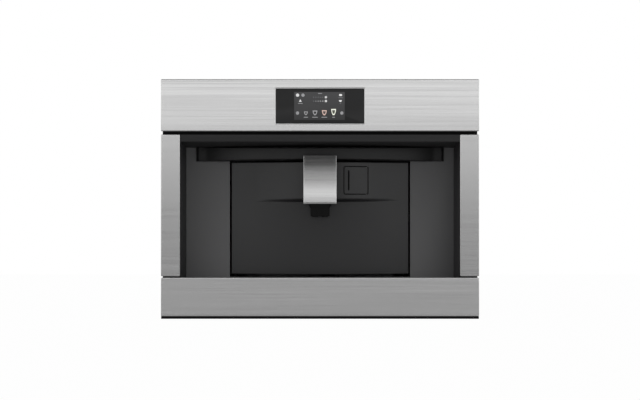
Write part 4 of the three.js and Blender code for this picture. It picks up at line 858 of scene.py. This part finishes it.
def makeSigns():
    for i, (px, py, width, height, ink) in enumerate(signs["bars"]):
        signPlate(f"label_bar_{i}", (px, py), barOutline(width, height), ink)
    dots = signs["dots"]
    for row, py in enumerate(dots["rows"]):
        for i in range(5):
            radius = dots["radius"] + dots["growth"] * i * row
            place = (dots["start"] + dots["step"] * i, py)
            ink = "dim" if row == 0 or i == 0 else "pale"
            signPlate(f"strength_dot_{row}_{i}", place, disc(0, 0, radius, 10), ink)
    share, line = signs["discRing"]
    for i, (px, py, radius, ink) in enumerate(signs["discs"]):
        signPlate(f"button_disc_{i}", (px, py), disc(0, 0, radius, 24), ink)
        signRing(f"button_ring_{i}", (px, py), radius * share, line, "coffee", 1)
    signPlate("heat_sign", (300.3, 100.7), signs["heat"], "bright")
    signPlate("ground_coffee_sign", (340.6, 95.2), barOutline(3.2, 2.0), "bright")
    signPlate("small_cup_sign", (340.4, 101.2), cupOutline(3.0, 1.8, 0.3), "bright")
    wide, tall, foot = signs["drink"]
    for i, (px, py, width, height, rim, mark, dot) in enumerate(signs["cups"]):
        lifted = (px, py - signs["cupLift"])
        cup = cupOutline(width, height, signs["cupFoot"])
        signPlate(f"drink_cup_{i}", (px, py), cup, rim)
        drink = cupOutline(width * wide, height * tall, foot)
        signPlate(f"drink_inside_{i}", lifted, drink, "shade", 1)
        signPlate(f"drink_mark_{i}", lifted, disc(0, 0, dot, 14), mark, 2)


makeDisplay()
makeSigns()
print("display built")


# hood over the door

hoodForm = {
    "sections": 97,
    "endDepth": 9.0,
    "endTurn": 6.0,  # length over which the ends turn round to the back
    "rise": 4.2,  # up to the niche's ceiling, at the ends
    "lowRise": 3.2,  # of the lower front edge
    "edge": 1.1,
    "lampAside": 75,
    "lampRadius": 7.3,
    "lampRoom": (90, 1, 3),  # half length, room round the lamps, and above their lenses
}


def makeHood():
    # seen from above: a shallow arc, (radius - root of radius squared less x squared)
    low, high = boxMm("hood")
    half, back = high[0], high[1]
    bulge = back - low[1]
    radius = (half**2 + bulge**2) / (2 * bulge)
    edge = hoodForm["edge"]
    rings = []
    for x in np.linspace(-half, half, hoodForm["sections"]):
        turn = min((half - abs(x)) / hoodForm["endTurn"], 1)
        proud = hoodForm["endDepth"] * math.sqrt(max(1 - (1 - turn) ** 2, 0.06))
        arc = low[1] + radius - math.sqrt(radius**2 - x**2)
        front = min(arc, back - proud)
        top = high[2] + hoodForm["rise"] * (x / half) ** 2
        bottom = low[2] + hoodForm["lowRise"] * (back - front) / bulge
        lowArc = arcPoints(front + edge, bottom + edge, edge, 270, 180, 5)
        highArc = arcPoints(front + edge, top - edge, edge, 180, 90, 5)
        section = np.concatenate([[[back, low[2]]], lowArc, highArc, [[back, top]]])
        rings.append(placed(section, 0, x))
    shape = ringStack(rings)
    hood = writePiece("hood_shell", shape, "hoodPlastic", "machine", ["hood"])
    lampLow, lampHigh = boxMm("cup_lamps")
    middleY = (lampLow[1] + lampHigh[1]) / 2
    for side in (-1, 1):
        drill = disc(side * hoodForm["lampAside"], middleY, hoodForm["lampRadius"], 32)
        subtract(hood, prism(drill, low[2] - 2, lampHigh[2] + 0.5, 2))
    length, room, above = hoodForm["lampRoom"]
    y0, y1 = lampLow[1] - room, lampHigh[1] + room
    corners = [(-length, y0), (length, y0), (length, y1), (-length, y1)]
    subtract(hood, prism(corners, lampLow[2] + above, lampHigh[2] + room, 2))


makeHood()
print("hood built")


# service door and the flap in it

door = {
    "upperBulge": 35.0,
    "lowerBulge": 20.0,
    "creaseDrop": 74.5,  # from the door's top to the crease
    "creaseHeight": 4.5,
    "creaseDip": 3.0,  # lower at its left end
    "grooveDepth": 2.2,  # shadow groove right under the crease
    "grooveHeight": 1.6,
    "creaseHalf": 142.0,
    "creaseShift": 15.0,
    "edge": 1.3,
    "skin": 3.0,
    "depth": 18.0,  # from the niche's front plane to the door's rear
    "panelSunk": 0.3,  # how far the inner panel stands in from there
    "flapGap": 1.1,
    "neckHalf": 12.6,  # slot in which the spout's neck goes up and down
    "neckDrop": 3.3,
    "neckLength": 62,
    "lines": (81, 24, 14),  # grid lines across, below and above the crease
    "creaseRoom": (4, 3),  # what lies between the crease and those, below and above
    "dipReach": 60,  # how far up and down the crease's dip shifts the lines
    # grid lines: shares of the edge, shares of the crease's height, distances below the crease
    "edgeSteps": [0, 0.06, 0.2, 0.45, 0.75],
    "lipSteps": [0, 0.002, 0.01, 0.03, 0.07, 0.13, 0.21, 0.32, 0.45, 0.6, 0.78, 1.0],
    "grooveSteps": [3.2, 2.6, 2.1, 1.7, 1.35, 1.05, 0.8, 0.6, 0.4, 0.2],
}
flap = {
    "cornerRadius": 3.2,
    "back": [(16, 4.0), (8, 4.0), (1.0, 4.0), (0.0, 3.7)],  # inset, how far behind the face
    "edge": [(0.0, 0.9), (0.12, 0.45), (0.4, 0.14), (0.9, 0.0)],
    "face": [2.5, 5, 9, 14, 19, 22],  # insets of the rings that close in over the face
    "slitAside": 9.0,
    "slitWidth": 3.0,
    "slitHeight": 39.0,
    "slitDepth": 3.2,
}
doorLow, doorHigh = boxMm("service_door")
creaseZ = doorHigh[2] - door["creaseDrop"]
nichePlane = boxMm("door_inner_panel")[1][1] + door["panelSunk"] - door["depth"]


def extraAt(x):
    # extra depth above the crease: (1 - reach squared) squared, nothing beyond its ends
    reach = (x - door["creaseShift"]) / door["creaseHalf"]
    depth = door["upperBulge"] - door["lowerBulge"]
    return np.where(np.abs(reach) < 1, depth * (1 - reach**2) ** 2, 0)


def dipAt(x):
    # how much lower the crease runs, as the square of the way to its left end
    return door["creaseDip"] * np.clip(-x / door["creaseHalf"], 0, 1) ** 2


def lipShare(x, z):
    # none of the extra depth below the crease; above it a rolled lip, a quarter circle
    height = (z + dipAt(x) - creaseZ) / door["creaseHeight"]
    return np.sqrt(np.clip(1 - (1 - np.clip(height, 0, 1)) ** 2, 0, 1))


def doorFaceY(x, z):
    # arc from side to side, a parabola, with the lip's extra depth and a groove shaped as a bell
    half = (doorHigh[0] - doorLow[0]) / 2
    arc = (door["upperBulge"] - extraAt(np.float64(0))) * (1 - (x / half) ** 2)
    under = (z + dipAt(x) - creaseZ + door["grooveHeight"] * 0.5) / door["grooveHeight"]
    share = extraAt(x) / (door["upperBulge"] - door["lowerBulge"])
    groove = door["grooveDepth"] * np.exp(-(under**2) * 3) * share
    return nichePlane - arc - lipShare(x, z) * extraAt(x) + groove


def doorGrid():
    # lines across and up the door's face, close together at the edges and the crease
    half, edge, lip = doorHigh[0], door["edge"], door["creaseHeight"]
    bottom, top = doorLow[2], doorHigh[2]
    steps = np.array(door["edgeSteps"]) * edge
    wide, below, above = door["lines"]
    under, over = door["creaseRoom"]
    across = np.linspace(-half + edge, half - edge, wide)
    x = np.concatenate([-half + steps, across, (half - steps)[::-1]])
    z = np.concatenate([
        bottom + steps,
        np.linspace(bottom + edge, creaseZ - under, below),
        creaseZ - np.array(door["grooveSteps"]),
        creaseZ + lip * np.array(door["lipSteps"]),
        np.linspace(creaseZ + lip + over, top - edge, above),
        (top - steps)[::-1],
    ])
    gridX, gridZ = np.meshgrid(x, z, indexing="xy")
    # the rows follow the dip of the crease and straighten out above and below it
    fade = np.clip(1.1 - np.abs(gridZ - creaseZ) / door["dipReach"], 0, 1)
    gridZ = gridZ - dipAt(gridX) * fade
    y = doorFaceY(gridX, gridZ)
    for distance in (half - np.abs(gridX), np.minimum(gridZ - bottom, top - gridZ)):
        t = np.clip(edge - distance, 0, edge)
        y = y + edge - np.sqrt(edge**2 - t**2)
    return np.stack([gridX, y, gridZ], -1)


def makeDoor():
    front = doorGrid()
    rows, columns = front.shape[:2]
    verts = front.reshape(-1, 3)
    # the rim goes straight back to the door's open rear
    right = np.arange(1, rows) * columns + columns - 1
    upper = (rows - 1) * columns + np.arange(columns - 2, -1, -1)
    left = np.arange(rows - 2, 0, -1) * columns
    border = np.concatenate([np.arange(columns), right, upper, left])
    rim = placed(verts[border][:, [0, 2]], 1, doorHigh[1])
    start, count = len(verts), len(border)
    faces = stripFaces(rows, columns)
    for i in range(count):
        j = (i + 1) % count
        faces.append([border[j], border[i], start + i, start + j])
    shape = (np.concatenate([verts, rim]), faces)
    obj = writePiece(
        "door_skin", shape, "doorPlastic", "service_door", ["service_door"],
        closed=False,
    )
    giveWall(obj, door["skin"], even=True)
    flapLow, flapHigh = boxMm("connector_flap")
    outline = insetRing(flapLow, flapHigh, -door["flapGap"], 4)
    subtract(obj, prism(outline, doorLow[1] - 5, nichePlane + 8))
    neck, top = door["neckHalf"], doorHigh[2] - door["neckDrop"]
    outline = rectRing(-neck, neck, top - door["neckLength"], top, 1.0)
    subtract(obj, prism(outline, doorLow[1] - 5, nichePlane))
    obj.modifiers.new("normals", "WEIGHTED_NORMAL").keep_sharp = True
    applyModifiers(obj)


def makeFlap():
    # back face, side, rounded edge, and rings that close in over the bulged face
    low, high = boxMm("connector_flap")
    rings = []
    for inset, back in flap["back"] + flap["edge"] + [(inset, 0.0) for inset in flap["face"]]:
        ring = insetRing(low, high, inset, max(flap["cornerRadius"] - inset, 0.4))
        rings.append(placed(ring, 1, doorFaceY(ring[:, 0], ring[:, 1]) + back))
    shape = ringStack(rings)
    obj = writePiece(
        "flap_skin", shape, "doorPlastic", "connector_flap", ["connector_flap"]
    )
    middle = (low[2] + high[2]) / 2
    slitX, width, height = low[0] + flap["slitAside"], flap["slitWidth"], flap["slitHeight"]
    half, tall = width / 2, height / 2
    slot = rectRing(slitX - half, slitX + half, middle - tall, middle + tall, half - 0.05)
    face = float(doorFaceY(slitX, middle))
    subtract(obj, prism(slot, face - 6, face + flap["slitDepth"]))

    # inside the finger slit the faces get matt black: painted shade in the recess
    def inSlit(x, y, z):
        return abs(x - slitX) < half + 0.1 and abs(z - middle) < tall + 0.2 and y > face + 0.3

    paintFaces(obj, "matteBlack", inSlit)


makeDoor()
makeFlap()
print("door built")


# spout: a curved steel cover over the carrier and the nozzle

spout = {
    "reach": 30.0,
    "sheet": 1.5,
    "edge": 1.1,
    "stretch": 1.25,  # the ellipse goes on above the cut-off top
    "topRoll": 1.6,
    "topDrop": 3.4,
    "softEdge": (0.25, 50),  # width, and the angle from which an edge is rounded
}
nozzle = {
    "halfTop": 22.5,
    "half": 18.0,
    "draw": 2.0,  # how much less deep the body is than its collar
    "outletAside": 9,
    "outletRadius": 3.2,
    # inner and outer wall of an outlet: radius, height above the bottom
    "outlet": [(6.2, 6), (6.2, 0.6), (5.8, 0), (3.8, 0), (3.2, 0.6), (3.2, 6)],
}


def spoutLine(low, high):
    # seen from the side: the lower part of a quarter ellipse, (reach cos t, height sin t), up to
    # the top edge, where a small quarter circle turns it back to a flat top
    back, roll, reach = high[1], spout["topRoll"], spout["reach"]
    top = high[2] - spout["topDrop"]
    height = (high[2] - low[2]) * spout["stretch"]
    turn = np.linspace(0, math.asin((top - low[2] - roll) / height), 34)
    y, z = back - reach * np.cos(turn), low[2] + height * np.sin(turn)
    normal = np.stack([-np.cos(turn) / reach, np.sin(turn) / height], 1)
    normal /= np.linalg.norm(normal, axis=1)[:, None]
    lean = math.atan2(normal[-1, 1], -normal[-1, 0])
    over = np.linspace(lean, math.pi / 2, 7)[1:]
    centreY = y[-1] + roll * math.cos(lean)
    y = np.concatenate([y, centreY - roll * np.cos(over), np.linspace(centreY + 2, back, 4)])
    z = np.concatenate([z, top - roll + roll * np.sin(over), np.full(4, top)])
    rolled = np.stack([-np.cos(over), np.sin(over)], 1)
    return y, z, np.concatenate([normal, rolled, np.tile([0.0, 1.0], (4, 1))])


def makeSpoutCover():
    # across: side wall, rolled edge, flat front, rolled edge, side wall
    low, high = boxMm("spout_cover")
    back, half, edge = high[1], high[0], spout["edge"]
    y, z, normal = spoutLine(low, high)
    left = arcPoints(-half + edge, edge, edge, 180, 270, 6)
    flat = placed(np.linspace(-half + edge, half - edge, 9)[1:-1, None], 1, 0)
    section = np.concatenate([left, flat, left[::-1] * [-1, 1]])
    columns = []
    for x, depth in section:
        line = np.stack([y - normal[:, 0] * depth, z - normal[:, 1] * depth], 1)
        columns.append(placed(line, 0, x))
    walls = []
    for column in (columns[0], columns[-1]):
        wall = column.copy()
        wall[:, 1], wall[:, 2] = back, columns[0][:, 2]
        walls.append(wall)
    grid = np.stack([walls[0], *columns, walls[1]], 1)
    grid[0, :, 2] = low[2]
    shape = (grid.reshape(-1, 3), stripFaces(*grid.shape[:2]))
    obj = writePiece(
        "spout_cover_sheet", shape, "spoutSteel", "coffee_spout", ["spout_cover"],
        closed=False,
    )
    giveWall(obj, spout["sheet"])
    softenEdges(obj, *spout["softEdge"])


def makeNozzle():
    # a collar under the cover, drawn in to a rounded body with two outlets
    low, high = boxMm("spout_nozzle")
    bottom, top = low[2], high[2]
    middleY, halfTop, half = (low[1] + high[1]) / 2, nozzle["halfTop"], nozzle["half"]
    depthTop = (high[1] - low[1]) / 2
    depth = depthTop - nozzle["draw"]
    levels = [
        (halfTop - 0.6, depthTop - 0.6, top, 2.2),
        (halfTop, depthTop, top - 0.6, 2.6),
        (halfTop - 1.2, depthTop - 0.6, top - 2.6, 3.0),
        (half + 0.6, depth + 0.4, top - 7.2, 3.0),
        (half, depth, top - 8.0, 3.0),
        (half, depth, bottom + 2.6, 3.0),
        (half - 0.35, depth - 0.35, bottom + 1.8, 2.8),
        (half - 1.2, depth - 1.2, bottom + 1.4, 2.4),
    ]
    rings = []
    for hx, hy, z, radius in levels:
        rings.append(placed(rectRing(-hx, hx, middleY - hy, middleY + hy, radius), 2, z))
    shape = ringStack(rings)
    body = writePiece(
        "nozzle_body", shape, "nozzlePlastic", "coffee_spout", ["spout_nozzle"]
    )
    for side, word in ((-1, "left"), (1, "right")):
        x = side * nozzle["outletAside"]
        rings = [placed(disc(x, middleY, r, 28), 2, bottom + up) for r, up in nozzle["outlet"]]
        shape = ringStack(rings, loop=True)
        writePiece(f"outlet_{word}", shape, "nozzlePlastic", "coffee_spout", ())
        drill = disc(x, middleY, nozzle["outletRadius"], 28)
        subtract(body, prism(drill, bottom - 1, bottom + 14, 2))


makeSpoutCover()
makeNozzle()
print("spout built")


# small parts: screws, sealing strip, level marks and the back of the door

screw = {
    "headRadius": 3.6,
    "headHeight": 1.5,
    "recess": 1.0,
    "sunk": 0.3,
    "slotHalf": 0.55,
    "slotReach": 2.1,
    "radii": [0.0, 0.35, 0.75, 1.2, 1.65, 2.05, 2.2, 2.8, 3.25, 3.5, 3.6, 3.6],
}
seal = {
    "depth": (0.1, 3.4),  # behind the front frame
    "outside": 13,  # from the side walls
    "inside": 0.6,
    "foot": (0.3, 1.6),  # outer and inner outline, up from the frame's foot
    "head": (0.8, 0.8),  # down from the frame's top, up from the top cover
    "radii": (3, 1.5),
    "edge": 0.8,
    "draw": 0.003,
}
tankMarks = {
    "rows": [212, 195, 178, 161, 144, 127],
    "long": 34,
    "short": 14,
    "line": 1.4,
    "radius": 0.5,
    "depth": (-0.2, 0.5),
}
innerPanel = {
    "frame": (-156, 156, 96, 222),
    "line": 3.0,
    "proud": 1.3,
    "sunk": 0.3,
    "edge": 0.4,
    "radius": 8,
    "ribs": (-104, -52, 0, 52, 104),
    "screws": [(x, z) for x in (-164, 164) for z in (88, 190, 287)] + [(-55, 88), (55, 88)],
}
backY = boxMm("back_wall")[1][1]
coverZ = boxMm("top_cover")[1][2]
sideX = boxMm("right_wall")[1][0]
screwRows = [
    # name, axis the heads point along, where on it, the other coordinates, which sides
    ("back_screws", 1, backY, (-254, 254), (22, 130, 240, 350, 428), (1,)),
    ("rear_rim_screws", 1, backY, (-90, 90), (20, 430), (1,)),
    ("cover_screws", 2, coverZ, (-255, 255), (-165, -50, 70, 192), (1,)),
    ("side_screws", 0, sideX, (-168, 194), (92, 250, 428), (-1, 1)),
]


def crossScrews(name, body, axis, at, spots, sides=(1,)):
    # each head: a low dome, height falls with the fourth power of the radius, with a cross in it
    turn = np.linspace(0, 2 * math.pi, 32, endpoint=False)
    r, a = np.meshgrid(screw["radii"], turn, indexing="ij")
    u, v = r * np.cos(a), r * np.sin(a)
    height = screw["headHeight"] * (1 - 0.55 * (r / screw["headRadius"]) ** 4)
    inSlot = (np.abs(u) < screw["slotHalf"]) | (np.abs(v) < screw["slotHalf"])
    height = height - screw["recess"] * (inSlot & (r < screw["slotReach"]))
    height[-1] = -screw["sunk"]
    flat = np.stack([u.ravel(), v.ravel()], 1)
    faces = stripFaces(*r.shape, wrapColumns=True)
    faces.append(list(range(r.size - len(turn), r.size)))
    heads = []
    for side in sides:
        for spot in spots:
            heads.append((placed(flat + spot, axis, side * (at + height.ravel())), faces))
    writePiece(name, joined(heads), "zincRail", body, angle=30)


def makeSealStrip():
    # foam round the chassis, behind the front: it seals the gap to the cabinet
    low, high = boxMm("front_frame")
    y0, y1 = (high[1] + depth for depth in seal["depth"])
    out, beside = sideX + seal["outside"], sideX + seal["inside"]
    (foot, innerFoot), (head, innerHead) = seal["foot"], seal["head"]
    radius, innerRadius = seal["radii"]
    outer = rectRing(-out, out, low[2] + foot, high[2] - head, radius)
    inner = rectRing(-beside, beside, low[2] + innerFoot, coverZ + innerHead, innerRadius)
    shrunk = outer * (1 - seal["draw"]) + outer.mean(0) * seal["draw"]
    rows = ((outer, y0), (outer, y1 - seal["edge"]), (shrunk, y1), (inner, y1), (inner, y0))
    shape = ringStack([placed(ring, 1, y) for ring, y in rows], loop=True)
    writePiece("seal_strip", shape, "foam", "machine", ())


def makeTankMarks():
    # raised level marks on the tank's outer face: long ones at the ends, short ones between
    low, high = boxMm("water_tank")
    middleY = (low[1] + high[1]) / 2
    marks = []
    for i, z in enumerate(tankMarks["rows"]):
        width = tankMarks["long" if i in (0, len(tankMarks["rows"]) - 1) else "short"]
        outline = middleRect(middleY, z, width, tankMarks["line"], tankMarks["radius"])
        marks.append(prism(outline, *(high[0] + depth for depth in tankMarks["depth"]), 0))
    shape = joined(marks)
    writePiece("tank_level_marks", shape, "lampPlastic", "water_tank", ())


def makeDoorBack():
    # stiffening frame and upright ribs on the door's inner panel, and the screws that hold it
    back = boxMm("door_inner_panel")[1][1]
    y0, y1 = back - innerPanel["sunk"], back + innerPanel["proud"]
    x0, x1, z0, z1 = innerPanel["frame"]
    line, edge = innerPanel["line"], innerPanel["edge"]
    rows = [(0, y0), (0, y1 - edge), (edge, y1), (line - edge, y1), (line, y1 - edge), (line, y0)]
    corners = (x0, 0, z0), (x1, 0, z1)
    parts = [ringStack(insetRings(*corners, 0, rows, innerPanel["radius"]), loop=True)]
    foot, head = z0 + line + edge, z1 - line - edge
    for x in innerPanel["ribs"]:
        parts.append(prism(rectRing(x - line / 2, x + line / 2, foot, head, 1.2, 4), y0, y1))
    shape = joined(parts)
    writePiece("door_back_ribs", shape, "innerPlastic", "service_door", ())
    crossScrews("door_back_screws", "service_door", 1, back, innerPanel["screws"])


for name, axis, at, across, up, sides in screwRows:
    crossScrews(name, "machine", axis, at, [(u, v) for u in across for v in up], sides)
makeSealStrip()
makeTankMarks()
makeDoorBack()
print("outside parts built")


bpy.context.view_layer.update()
